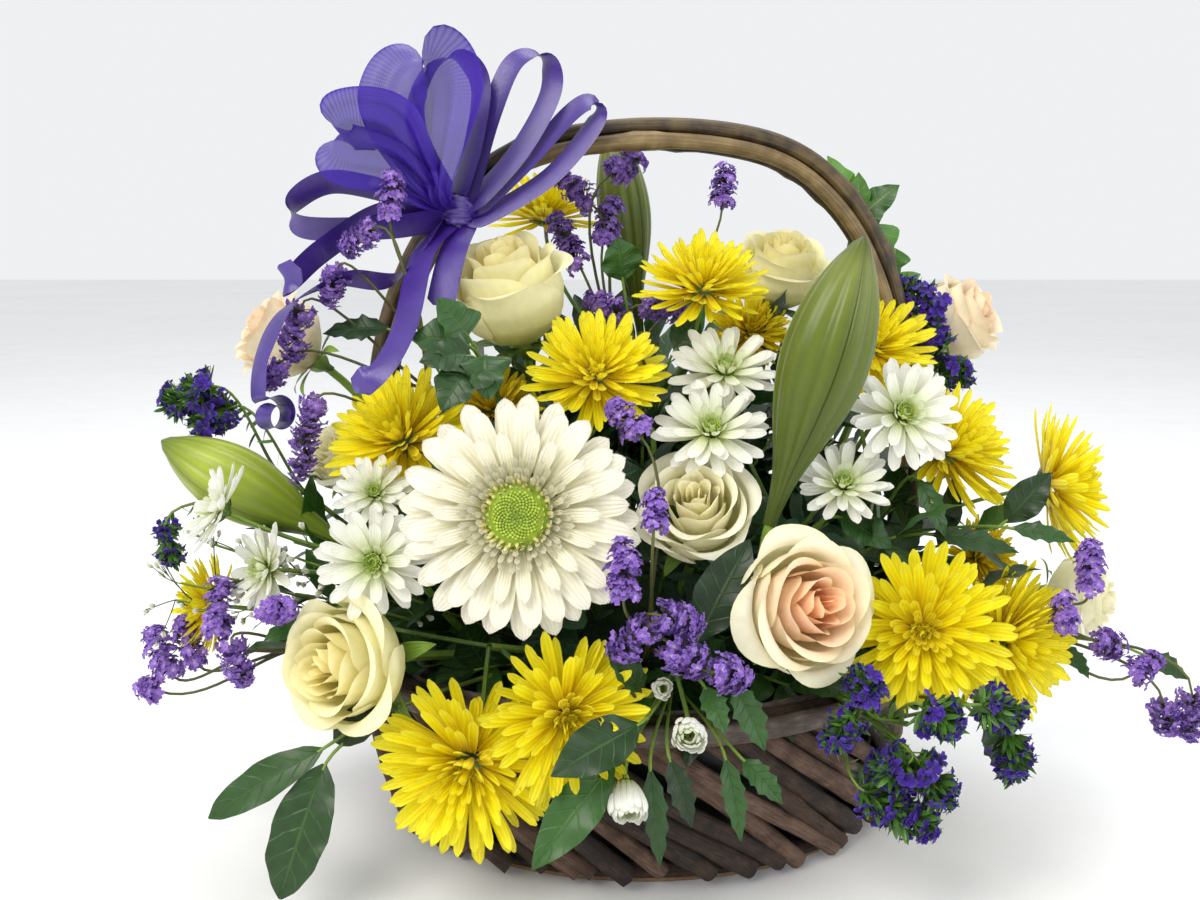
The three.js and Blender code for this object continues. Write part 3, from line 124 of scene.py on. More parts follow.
def catmull(points: Sequence[Point], count: int) -> Array:
    """Smooth line through points, evenly spaced along its length.

    Args:
        points: The points to pass through.
        count: How many points to return.

    Returns:
        An array of count points.
    """
    p = vec(points)
    p = np.vstack([2 * p[0] - p[1], p, 2 * p[-1] - p[-2]])
    fine = []
    for i in range(1, len(p) - 2):
        t = np.linspace(0, 1, 24, endpoint=False)[:, None]
        a, b, c, d = p[i - 1], p[i], p[i + 1], p[i + 2]
        bent, twisted = 2 * a - 5 * b + 4 * c - d, 3 * b - a - 3 * c + d
        fine.append(0.5 * (2 * b + (c - a) * t + bent * t**2 + twisted * t**3))
    line = np.vstack([*fine, p[-2]])
    return respaced(line, count)


def respaced(line: Array, count: int) -> Array:
    """The same line with its points evenly spaced along its length."""
    steps = np.concatenate([[0], np.cumsum(np.linalg.norm(np.diff(line, axis=0), axis=1))])
    wanted = np.linspace(0, steps[-1], count)
    return np.stack([np.interp(wanted, steps, line[:, k]) for k in range(3)], 1)


def bezier(a: Point, b: Point, c: Point, d: Point, count: int) -> Array:
    """Points of a cubic Bezier curve."""
    a, b, c, d = (vec(x) for x in (a, b, c, d))
    t = np.linspace(0, 1, count)[:, None]
    return a * (1 - t) ** 3 + 3 * b * t * (1 - t) ** 2 + 3 * c * t**2 * (1 - t) + d * t**3


def stalk_line(start: Array, ends: Sequence[Array], leaving: float, arriving: float, past: float,
               count: int) -> Array:
    """Middle line of a stalk from a stem to what it bears, which it meets along that one's direction.

    Args:
        start: Where it leaves the stem.
        ends: The first and last point of what it bears.
        leaving: How stiffly it leaves the stem, as a share of its reach.
        arriving: How stiffly it turns to what it bears, as a share of its reach.
        past: How far it runs on into what it bears.
        count: How many points to return.

    Returns:
        An array of count points.
    """
    way = unit(ends[1] - ends[0])
    turn = ends[0] - way * norm(ends[0] - start) * arriving
    return bezier(start, start + (ends[0] - start) * leaving, turn, ends[0] + way * past, count)


def tangents(line: Array) -> Array:
    """Unit directions along a line of points."""
    way = np.gradient(line, axis=0)
    return way / np.maximum(np.linalg.norm(way, axis=1, keepdims=True), 1e-12)


def carried_frames(line: Array) -> tuple[Array, Array]:
    """Two side directions at each point of a line, carried along it without twist."""
    way = tangents(line)
    u = frame_of(way[0])[0]
    sides = []
    for t in way:
        u = unit(u - t * np.dot(u, t))
        sides.append(u)
    u = np.array(sides)
    return u, np.cross(way, u)


# -------------------------------------------------------------------- meshes


class Skin:
    """Grids of points gathered into one mesh, with the marks that the finishes read.

    The marks are, at each point: along (0 at the root, 1 at the tip), across (-1 to 1 over the width),
    tone (a draw from 0 to 1 for the whole blade) and layer (what part of the piece it is).
    """

    def __init__(self) -> None:
        """Starts with no points."""
        self.points: list[Array] = []
        self.faces: list[list[int]] = []
        self.marks: list[Array] = []
        self.count = 0

    def grid(self, points: Array, along: Array | None = None, across: Array | None = None,
             tone: float = 0.5, layer: float | Array = 0.0, closed: bool = False,
             caps: float | None = None) -> None:
        """Adds a grid of points as a surface.

        Args:
            points: The points, as rows along and columns across, in millimetres.
            along: The along mark of each row, or None for even steps from 0 to 1.
            across: The across mark of each column, or None for even steps from -1 to 1.
            tone: The tone mark of the whole grid.
            layer: The layer mark of the whole grid, or one for each row.
            closed: Whether the last column joins the first, as in a tube.
            caps: The layer mark of flat ends for a tube, or None for open ends.
        """
        rows, columns = points.shape[:2]
        along = np.linspace(0, 1, rows) if along is None else vec(along)
        across = np.linspace(-1, 1, columns) if across is None else vec(across)
        layers = np.broadcast_to(vec(layer), (rows,))
        marks = np.empty((rows, columns, 4))
        marks[..., 0] = along[:, None]
        marks[..., 1] = across[None, :]
        marks[..., 2] = tone
        marks[..., 3] = layers[:, None]
        index = np.arange(rows * columns).reshape(rows, columns) + self.count
        self.points.append(points.reshape(-1, 3))
        self.marks.append(marks.reshape(-1, 4))
        self.count += rows * columns
        if closed:
            index = np.hstack([index, index[:, :1]])
        quads = np.stack([index[:-1, :-1], index[:-1, 1:], index[1:, 1:], index[1:, :-1]], -1)
        self.faces.extend(quads.reshape(-1, 4).tolist())
        if caps is not None:
            self.cap(points[0], along[0], tone, caps, False)
            self.cap(points[-1], along[-1], tone, caps, True)

    def cap(self, ring: Array, along: float, tone: float, layer: float, last: bool) -> None:
        """Closes a tube's end with a slightly domed disc of its own points."""
        middle = ring.mean(0)
        points = np.vstack([ring, middle + (ring - middle) * 0.5, middle[None]])
        marks = np.tile([along, 0.0, tone, layer], (len(points), 1))
        n = len(ring)
        marks[:n, 1] = 1.0
        marks[n:2 * n, 1] = 0.5
        base = self.count
        self.points.append(points)
        self.marks.append(marks)
        self.count += len(points)
        for i in range(n):
            j = (i + 1) % n
            quad = [base + i, base + j, base + n + j, base + n + i]
            tri = [base + n + i, base + n + j, base + 2 * n]
            self.faces.append(quad if last else quad[::-1])
            self.faces.append(tri if last else tri[::-1])

    def piece(self, name: str, material: Material, slot: str,
              nodes: Sequence[str]) -> bpy.types.Object:
        """Makes the mesh object, dresses it and fixes it to the model.

        Args:
            name: The piece's name.
            material: Its finish.
            slot: The record's material slot that the finish belongs to. Not used.
            nodes: The CAD nodes that it stands for.

        Returns:
            The new object.
        """
        mesh = bpy.data.meshes.new(name)
        mesh.from_pydata((np.vstack(self.points) * MM).tolist(), [], self.faces)
        marks = np.vstack(self.marks)
        for k, mark in enumerate(MARKS):
            attribute = mesh.attributes.new(mark, "FLOAT", "POINT")
            attribute.data.foreach_set("value", marks[:, k].astype(np.float32))
        mesh.shade_smooth()
        mesh.materials.append(material)
        item = bpy.data.objects.new(name, mesh)
        bpy.context.scene.collection.objects.link(item)
        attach(item, "root")
        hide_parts(*nodes)
        LOG.info("%s: %d faces, stands for %s", name, len(self.faces), ", ".join(nodes))
        return item


def tube(skin: Skin, line: Array, radii: Array | float, sides: int = 8, tone: float = 0.5,
         layer: float = 0.0, rough: float = 0.0, rng: Draws | None = None,
         caps: float | None = None) -> None:
    """Adds a round tube along a line.

    Args:
        skin: Where it is added.
        line: Its middle line.
        radii: Its radius, or one for each point of the line.
        sides: How many sides it has.
        tone: Its tone mark.
        layer: Its layer mark.
        rough: How uneven its radius is, as a share.
        rng: The draws for the unevenness.
        caps: The layer mark of its flat ends, or None for open ends.
    """
    u, v = carried_frames(line)
    turn = np.arange(sides) / sides * 2 * np.pi
    radii = np.broadcast_to(vec(radii), (len(line),))[:, None] * np.ones((1, sides))
    if rough and rng is not None:
        coarse = rng.normal(0, 1, (max(4, len(line) // 3), sides))
        rows = np.linspace(0, len(coarse) - 1, len(line))
        low = rows.astype(int).clip(0, len(coarse) - 2)
        share = (rows - low)[:, None]
        radii = radii * (1 + rough * (coarse[low] * (1 - share) + coarse[low + 1] * share))
    ring = u[:, None] * np.cos(turn)[None, :, None] + v[:, None] * np.sin(turn)[None, :, None]
    points = line[:, None] + ring * radii[..., None]
    skin.grid(points, across=np.linspace(-1, 1, sides), tone=tone, layer=layer, closed=True, caps=caps)


class Outline(Enum):
    """How the half width of a blade runs from its root to its tip."""

    STRAP = ((0, 0.5), (0.15, 0.72), (0.45, 0.95), (0.75, 1.0), (0.9, 0.86), (0.97, 0.6), (1, 0.25))
    SPOON = ((0, 0.4), (0.2, 0.55), (0.5, 0.85), (0.75, 1.0), (0.9, 0.86), (0.97, 0.58), (1, 0.22))
    RAY = ((0, 0.35), (0.2, 0.6), (0.45, 0.88), (0.7, 1.0), (0.88, 0.86), (0.96, 0.58), (1, 0.2))
    NEEDLE = ((0, 0.7), (0.4, 1.0), (0.8, 0.75), (1, 0.12))
    LEAF = ((0, 0.05), (0.08, 0.32), (0.22, 0.76), (0.42, 1.0), (0.62, 0.9), (0.8, 0.58), (0.93, 0.24),
            (1, 0.02))
    OVAL = ((0, 0.08), (0.1, 0.55), (0.3, 0.92), (0.5, 1.0), (0.72, 0.86), (0.9, 0.48), (1, 0.05))
    IVY = ((0, 0.05), (0.1, 0.72), (0.2, 1.0), (0.34, 0.78), (0.46, 0.58), (0.62, 0.62), (0.82, 0.34),
           (1, 0.02))
    SERRATE = ((0, 0.05), (0.1, 0.3), (0.24, 0.85), (0.28, 0.62), (0.42, 1.0), (0.47, 0.7), (0.62, 0.9),
               (0.67, 0.55), (0.8, 0.56), (0.85, 0.34), (1, 0.02))
    FLARE = ((0, 0.25), (0.4, 0.55), (0.8, 1.0), (0.94, 0.9), (1, 0.55))

    def half_width(self, along: Array) -> Array:
        """Half width at shares of the length, as a share of the widest."""
        stations = np.array(self.value)
        return np.interp(along, stations[:, 0], stations[:, 1])


@dataclass(frozen=True)
class Blade:
    """Shape of one petal or leaf.

    Attributes:
        outline: How its width runs.
        length: Root to tip, in mm.
        width: Across the widest place, in mm.
        rise: How steeply it leaves its root, in radians from its outward direction.
        bend: How much it turns up along its length, in radians.
        curl: How much more it turns up over its last quarter, in radians.
        cup: Half the angle that its section is rolled through, in radians.
        wave: Height of the waves along its edge, as a share of its width.
        ripples: How many waves there are.
        fold: Height of the fold along its middle, as a share of its width.
        groove: Depth of the long grooves, as a share of its width.
        notch: Depth of the notch in its tip, as a share of its length.
        rows: Points along it.
        columns: Points across it.
    """

    outline: Outline
    length: float
    width: float
    rise: float = 0.0
    bend: float = 0.0
    curl: float = 0.0
    cup: float = 0.0
    wave: float = 0.0
    ripples: float = 2.0
    fold: float = 0.0
    groove: float = 0.0
    notch: float = 0.0
    rows: int = 8
    columns: int = 5


def grow(skin: Skin, blade: Blade, root: Point, outward: Point, above: Point, tone: float,
         layer: float = 0.0, phase: float = 0.0, scale: float = 1.0) -> Array:
    """Adds one blade that grows from a root.

    Args:
        skin: Where it is added.
        blade: Its shape.
        root: Where it starts.
        outward: The direction that it leans out in.
        above: The direction that it rises towards.
        tone: Its tone mark.
        layer: Its layer mark.
        phase: Where its waves start.
        scale: Its size, as a share of the blade's.

    Returns:
        Its tip.
    """
    outward, above = unit(outward), unit(above)
    side = np.cross(above, outward)
    along = 1 - (1 - np.linspace(0, 1, blade.rows)) ** 1.25
    across = np.linspace(-1, 1, blade.columns)
    angle = blade.rise + blade.bend * along + blade.curl * np.clip((along - 0.75) / 0.25, 0, 1)
    way = outward * np.cos(angle)[:, None] + above * np.sin(angle)[:, None]
    normal = above * np.cos(angle)[:, None] - outward * np.sin(angle)[:, None]
    step = np.diff(along, prepend=0)[:, None] * blade.length * scale
    middle = vec(root) + np.cumsum(way * step, axis=0)
    half = blade.outline.half_width(along) * blade.width * scale / 2
    if blade.cup > 0.01:
        out = np.sin(blade.cup * across) / math.sin(min(blade.cup, 1.5))
        lift = (1 - np.cos(blade.cup * across)) / blade.cup
    else:
        out, lift = across, np.zeros_like(across)
    lift = lift + blade.fold * np.abs(across) - blade.groove * np.cos(across * 3 * np.pi)
    swing = np.sin(along[:, None] * blade.ripples * 2 * np.pi + phase + 0.9 * across[None])
    waves = blade.wave * swing * across[None] ** 2
    points = (middle[:, None] + side * (half[:, None] * out[None])[..., None]
              + normal[:, None] * (half[:, None] * (lift[None] + 2 * waves))[..., None])
    if blade.notch:
        back = blade.notch * blade.length * scale * np.clip((along - 0.8) / 0.2, 0, 1)[:, None]
        bite = np.cos(across * 3 * np.pi)[None] * 0.5 + np.abs(across[None]) ** 2
        points = points - way[:, None] * (back * bite)[..., None]
    skin.grid(points, along=along, across=across, tone=tone, layer=layer)
    return middle[-1]


# -------------------------------------------------------------------- finishes


def linear(color: str) -> tuple[float, float, float, float]:
    """An sRGB hex colour as linear red, green, blue and alpha."""
    channels = [int(color[i:i + 2], 16) / 255 for i in (1, 3, 5)]
    return tuple(c / 12.92 if c <= 0.04045 else ((c + 0.055) / 1.055) ** 2.4 for c in channels) + (1.0,)


def add(tree: Tree, kind: str, *inputs: object, sockets: dict | None = None, out: int | str = 0,
        stops: Stops = (), **settings: object) -> Socket | None:
    """Adds a shader node with its settings and links.

    Args:
        tree: The node tree.
        kind: The node's type, after its "ShaderNode".
        inputs: Values of its first input sockets, or output sockets to link to them.
        sockets: The same for further input sockets, by name or number.
        out: Name or number of the output socket to return.
        stops: Positions and sRGB hex colours of its colour ramp.
        settings: Values of its own properties.

    Returns:
        The output socket, or None for a node that has none.
    """
    node = tree.nodes.new("ShaderNode" + kind)
    for name, value in settings.items():
        setattr(node, name, value)
    for i, (place, color) in enumerate(stops):
        elements = node.color_ramp.elements
        element = elements[i] if i < 2 else elements.new(place)
        element.position = place
        element.color = linear(color)
    for name, value in {**dict(enumerate(inputs)), **(sockets or {})}.items():
        if isinstance(value, Socket):
            tree.links.new(value, node.inputs[name])
        else:
            node.inputs[name].default_value = value
    return node.outputs[out] if len(node.outputs) else None


def noise(tree: Tree, size_mm: float, detail: float = 3.0,
          stretch: tuple[float, float, float] = (1, 1, 1)) -> Socket:
    """Noise whose lumps are of a size in millimetres, in the piece's own space."""
    place = add(tree, "TexCoord", out="Object")
    scaled = add(tree, "Mapping", place, sockets={"Scale": stretch})
    return add(tree, "TexNoise", scaled, sockets={"Scale": 1 / (size_mm * MM), "Detail": detail})


def stripes(tree: Tree, place: Socket, pace: float) -> Socket:
    """Stripes from -1 to 1 along a mark, at a pace in radians for each unit of it."""
    turned = add(tree, "Math", place, pace, operation="MULTIPLY")
    return add(tree, "Math", turned, operation="COSINE")


def verge(tree: Tree, across: Socket, power: float) -> Socket:
    """Nought in the middle of a strip and one at its edges, the nearer to them the higher the power."""
    side = add(tree, "Math", across, operation="ABSOLUTE")
    return add(tree, "Math", side, power, operation="POWER")


def surface(tree: Tree, color: object, height: Socket, depth_mm: float, translucent: float = 0.0,
            strength: float = 1.0, **settings: object) -> None:
    """Ends a material: a bumped principled shader, with a share of light let through for thin blades.

    Args:
        tree: The node tree.
        color: The base colour.
        height: The height that bumps it.
        depth_mm: Depth of the bumps, in mm.
        translucent: Share of light that shines through.
        strength: Strength of the bumps.
        settings: The principled shader's other sockets, with _ for each space in a name.
    """
    normal = add(tree, "Bump", sockets={"Height": height, "Distance": depth_mm * MM, "Strength": strength})
    sockets = {name.replace("_", " "): value for name, value in settings.items()}
    shader = add(tree, "BsdfPrincipled", color, sockets={**sockets, "Normal": normal})
    if translucent:
        glow = add(tree, "BsdfTranslucent", color, sockets={"Normal": normal})
        shader = add(tree, "MixShader", translucent, shader, glow)
    add(tree, "OutputMaterial", shader)


def new_tree(name: str) -> tuple[Material, Tree]:
    """A new material and its empty node tree."""
    material = bpy.data.materials.new(name)
    material.use_nodes = True
    material.node_tree.nodes.clear()
    return material, material.node_tree


@dataclass(frozen=True)
class PetalFinish:
    """Fresh petal: soft, slightly velvety, lit through, with fine lengthwise veins whose grooves carry
    painted shade.

    Attributes:
        name: The material's name.
        stops: Colours from root to tip.
        inner: Colour of the innermost petals, where the layer mark is 1.
        inner_share: How much of the inner colour shows there.
        veins: How many veins run across the width.
        vein_depth: How deep they are, in mm.
        darken: How much darker the grooves between the veins are painted, a painted shade that follows the
            vein bumps.
        spread: How much petals differ in brightness.
        roughness: Of the surface.
        translucent: Share of light let through.
        edge: Colour of the very edge and tip, or None; on the lily buds it is a dark painted shade along the
            seams between the tepals.
    """

    name: str
    stops: Stops
    inner: str = "#ffffff"
    inner_share: float = 0.0
    veins: float = 9.0
    vein_depth: float = 0.25
    darken: float = 0.12
    spread: float = 0.16
    roughness: float = 0.5
    translucent: float = 0.22
    edge: str | None = None

    def build(self) -> Material:
        """Makes the material."""
        material, tree = new_tree(self.name)
        along, across, tone, layer = (add(tree, "Attribute", attribute_name=m, out="Fac") for m in MARKS)
        color = add(tree, "ValToRGB", along, stops=self.stops)
        share = add(tree, "Math", layer, self.inner_share, operation="MULTIPLY")
        color = add(tree, "Mix", share, sockets={6: color, 7: linear(self.inner)}, **MIXED)
        if self.edge:
            tip = add(tree, "Math", along, 14.0, operation="POWER")
            rim = add(tree, "Math", verge(tree, across, 6.0), tip, operation="MAXIMUM")
            rim = add(tree, "Math", rim, 0.6, operation="MULTIPLY")
            color = add(tree, "Mix", rim, sockets={6: color, 7: linear(self.edge)}, **MIXED)
        vein = stripes(tree, across, self.veins * math.pi)
        vein = add(tree, "Math", vein, 0.5, 0.5, operation="MULTIPLY_ADD")
        cloud = noise(tree, 4.0, 4.0)
        # Painted shade: the low grooves of the vein bumps are painted darker by darken.
        shade = add(tree, "Math", vein, self.darken, 1 - self.darken, operation="MULTIPLY_ADD")
        draw = add(tree, "Math", tone, self.spread, 1 - self.spread / 2, operation="MULTIPLY_ADD")
        shade = add(tree, "Math", shade, draw, operation="MULTIPLY")
        blotch = add(tree, "Math", cloud, 0.16, 0.92, operation="MULTIPLY_ADD")
        shade = add(tree, "Math", shade, blotch, operation="MULTIPLY")
        color = add(tree, "Mix", 1.0, sockets={6: color, 7: shade}, **MIXED, blend_type="MULTIPLY")
        height = add(tree, "Math", cloud, 0.5, vein, operation="MULTIPLY_ADD")
        surface(tree, color, height, self.vein_depth, self.translucent, Roughness=self.roughness,
                Sheen_Weight=0.12, Sheen_Roughness=0.4, IOR=1.4)
        return material


@dataclass(frozen=True)
class LeafFinish:
    """Fresh leaf: waxy green blade with a pale midrib and side veins sunk into it.

    Attributes:
        name: The material's name.
        deep: Colour of the darkest leaves.
        light: Colour of the lightest leaves.
        vein: Colour of the veins.
        pairs: Pairs of side veins.
        roughness: Of the wax.
        vein_share: How clearly the veins show.
    """

    name: str
    deep: str
    light: str
    vein: str
    pairs: float = 7.0
    roughness: float = 0.36
    vein_share: float = 0.6

    def build(self) -> Material:
        """Makes the material."""
        material, tree = new_tree(self.name)
        along, across, tone = (add(tree, "Attribute", attribute_name=m, out="Fac") for m in MARKS[:3])
        side = add(tree, "Math", across, operation="ABSOLUTE")
        wobble = noise(tree, 7.0, 2.0)
        up = add(tree, "Math", along, self.pairs, operation="MULTIPLY")
        slant = add(tree, "Math", side, 0.36 * self.pairs / 2.2, operation="MULTIPLY")
        cell = add(tree, "Math", up, slant, operation="SUBTRACT")
        cell = add(tree, "Math", wobble, 0.5, cell, operation="MULTIPLY_ADD")
        wave = add(tree, "Math", cell, operation="FRACT")
        wave = add(tree, "Math", wave, 0.5, operation="SUBTRACT")
        wave = add(tree, "Math", wave, operation="ABSOLUTE")
        veins, rib = (self.line(tree, *way) for way in ((wave, 11.0), (side, 13.0)))
        fade = add(tree, "Math", side, 0.7, operation="MULTIPLY")
        fade = add(tree, "Math", 1.0, fade, operation="SUBTRACT")
        veins = add(tree, "Math", veins, fade, operation="MULTIPLY")
        lines = add(tree, "Math", veins, rib, operation="MAXIMUM")
        mottle = noise(tree, 5.0, 5.0)
        share = add(tree, "Math", tone, 0.9, -0.25, operation="MULTIPLY_ADD")
        share = add(tree, "Math", mottle, 0.6, share, operation="MULTIPLY_ADD")
        color = add(tree, "ValToRGB", share, stops=((0.05, self.deep), (0.95, self.light)))
        shown = add(tree, "Math", lines, self.vein_share, operation="MULTIPLY")
        color = add(tree, "Mix", shown, sockets={6: color, 7: linear(self.vein)}, **MIXED)
        height = add(tree, "Math", mottle, 0.4, operation="MULTIPLY")
        height = add(tree, "Math", height, lines, operation="SUBTRACT")
        surface(tree, color, height, 0.35, 0.14, Roughness=self.roughness, IOR=1.45, Coat_Weight=0.12,
                Coat_Roughness=0.3)
        return material

    @staticmethod
    def line(tree: Tree, away: Socket, thin: float) -> Socket:
        """A line where a distance is nought, which fades out the sooner the thinner it is."""
        slope = add(tree, "Math", away, thin, operation="MULTIPLY")
        slope = add(tree, "Math", slope, 1.0, operation="MINIMUM")
        return add(tree, "Math", 1.0, slope, operation="SUBTRACT")


@dataclass(frozen=True)
class StemFinish:
    """Green stem: waxy, streaked lengthwise, paler towards the flower."""

    name: str
    low: str
    high: str

    def build(self) -> Material:
        """Makes the material."""
        material, tree = new_tree(self.name)
        along, across, tone = (add(tree, "Attribute", attribute_name=m, out="Fac") for m in MARKS[:3])
        streak = stripes(tree, across, 4 * math.pi)
        speck = noise(tree, 2.5, 4.0)
        streaked = add(tree, "Math", streak, 0.08, along, operation="MULTIPLY_ADD")
        draw = add(tree, "Math", tone, 0.3, -0.15, operation="MULTIPLY_ADD")
        share = add(tree, "Math", streaked, draw, operation="ADD")
        share = add(tree, "Math", share, 0.2, operation="SUBTRACT")
        share = add(tree, "Math", speck, 0.4, share, operation="MULTIPLY_ADD")
        color = add(tree, "ValToRGB", share, stops=((0.0, self.low), (1.0, self.high)))
        height = add(tree, "Math", streak, 0.5, speck, operation="MULTIPLY_ADD")
        surface(tree, color, height, 0.3, Roughness=0.45, IOR=1.45)
        return material


@dataclass(frozen=True)
class BarkFinish:
    """Bark of a dried cane or twig: fine long cracks, knots and paler cut ends.

    Attributes:
        name: The material's name.
        dark: Colour in the cracks.
        middle: Colour of most of the bark.
        pale: Colour of worn places.
        cut: Colour of a cut end.
        grain_mm: Spacing of the cracks.
        depth_mm: Depth of the bark.
        roughness: Of the surface.
    """

    name: str
    dark: str
    middle: str
    pale: str
    cut: str
    grain_mm: float = 2.0
    depth_mm: float = 0.5
    roughness: float = 0.78

    def build(self) -> Material:
        """Makes the material."""
        material, tree = new_tree(self.name)
        along, across, tone, layer = (add(tree, "Attribute", attribute_name=m, out="Fac") for m in MARKS)
        places = (add(tree, "Math", mark, times, operation="MULTIPLY")
                  for mark, times in ((along, 9.0), (across, 14.0 / self.grain_mm), (tone, 40.0)))
        grain = add(tree, "CombineXYZ", *places)
        crack = add(tree, "TexNoise", grain, sockets={"Scale": 1.6, "Detail": 6.0, "Roughness": 0.65})
        blotch = noise(tree, 9.0, 3.0)
        speck = noise(tree, 1.4, 3.0)
        share = add(tree, "Math", tone, 0.36, -0.18, operation="MULTIPLY_ADD")
        share = add(tree, "Math", blotch, 0.45, share, operation="MULTIPLY_ADD")
        share = add(tree, "Math", crack, 0.55, share, operation="MULTIPLY_ADD")
        color = add(tree, "ValToRGB", share, stops=((0.32, self.dark), (0.55, self.middle), (0.8, self.pale)))
        rings = add(tree, "Math", stripes(tree, across, 16.0), 0.2, 0.8, operation="MULTIPLY_ADD")
        core = add(tree, "Mix", 1.0, sockets={6: linear(self.cut), 7: rings}, **MIXED, blend_type="MULTIPLY")
        color = add(tree, "Mix", layer, sockets={6: color, 7: core}, **MIXED)
        height = add(tree, "Math", speck, 0.4, crack, operation="MULTIPLY_ADD")
        surface(tree, color, height, self.depth_mm, Roughness=self.roughness, IOR=1.5)
        return material


@dataclass(frozen=True)
class SatinFinish:
    """Woven satin ribbon: long floats that give a broad soft shine along the strip, helped by painted sheen,
    which is patches of a lighter colour laid into the base.
    """

    name: str = "violet_satin_woven"
    base: str = "#2e136c"
    # light is the colour of the painted sheen patches.
    light: str = "#5d3dae"

    def build(self) -> Material:
        """Makes the material. The threads are drawn 0.5 mm apart, coarser than life, so that they show."""
        material, tree = new_tree(self.name)
        along, across = (add(tree, "Attribute", attribute_name=m, out="Fac") for m in MARKS[:2])
        thread, weft = stripes(tree, across, 26 * math.pi), stripes(tree, along, 900.0)
        # Painted sheen: noise patches of the lighter colour stand in for the satin's shine.
        gloss = noise(tree, 14.0, 2.0)
        share = add(tree, "Math", gloss, 0.5, operation="MULTIPLY")
        color = add(tree, "Mix", share, sockets={6: linear(self.base), 7: linear(self.light)}, **MIXED)
        edge = add(tree, "Math", verge(tree, across, 18.0), 0.5, operation="MULTIPLY")
        color = add(tree, "Mix", edge, sockets={6: color, 7: linear("#2a1568")}, **MIXED)
        height = add(tree, "Math", weft, 0.3, thread, operation="MULTIPLY_ADD")
        surface(tree, color, height, 0.05, 0.05, 0.5, Roughness=0.27, IOR=1.5, Specular_IOR_Level=0.85,
                Sheen_Weight=0.06, Sheen_Roughness=0.3, Sheen_Tint=linear("#9c86ea"), Anisotropic=0.5)
        return material


@dataclass(frozen=True)
class OrganzaFinish:
    """Organza: stiff sheer plain weave, clear between its threads and denser where it folds."""

    name: str = "violet_organza_sheer"
    base: str = "#2f0f88"
    clear: float = 0.76

    def build(self) -> Material:
        """Makes the material. The mesh of threads is drawn about 0.6 mm apart, so that it shows."""
        material, tree = new_tree(self.name)
        along, across = (add(tree, "Attribute", attribute_name=m, out="Fac") for m in MARKS[:2])
        warp, weft = stripes(tree, across, 44 * math.pi), stripes(tree, along, 700.0)
        weave = add(tree, "Math", warp, weft, operation="MAXIMUM")
        weave = add(tree, "Math", weave, 0.1, self.clear, operation="MULTIPLY_ADD")
        alpha = add(tree, "Math", verge(tree, across, 24.0), 0.3, weave, operation="MULTIPLY_ADD")
        cloud = noise(tree, 20.0, 2.0)
        color = add(tree, "Mix", cloud, sockets={6: linear(self.base), 7: linear("#4526a6")}, **MIXED)
        surface(tree, color, warp, 0.04, 0.2, 0.4, Roughness=0.4, IOR=1.4, Alpha=alpha, Sheen_Weight=0.1,
                Sheen_Roughness=0.3, Sheen_Tint=linear("#8f7cf0"))
        return material


@dataclass(frozen=True)
class GrainFinish:
    """A plain stuff with grain and pores, such as wet foam, raw board or a film."""

    name: str
    dark: str
    pale: str
    grain_mm: float
    depth_mm: float
    roughness: float
    stretch: tuple[float, float, float] = (1, 1, 1)

    def build(self) -> Material:
        """Makes the material."""
        material, tree = new_tree(self.name)
        grain = noise(tree, self.grain_mm, 5.0, self.stretch)
        cloud = noise(tree, self.grain_mm * 12, 2.0)
        share = add(tree, "Math", grain, 0.5, operation="MULTIPLY")
        share = add(tree, "Math", cloud, 0.5, share, operation="MULTIPLY_ADD")
        color = add(tree, "ValToRGB", share, stops=((0.35, self.dark), (0.7, self.pale)))
        surface(tree, color, grain, self.depth_mm, Roughness=self.roughness, IOR=1.45)
        return material


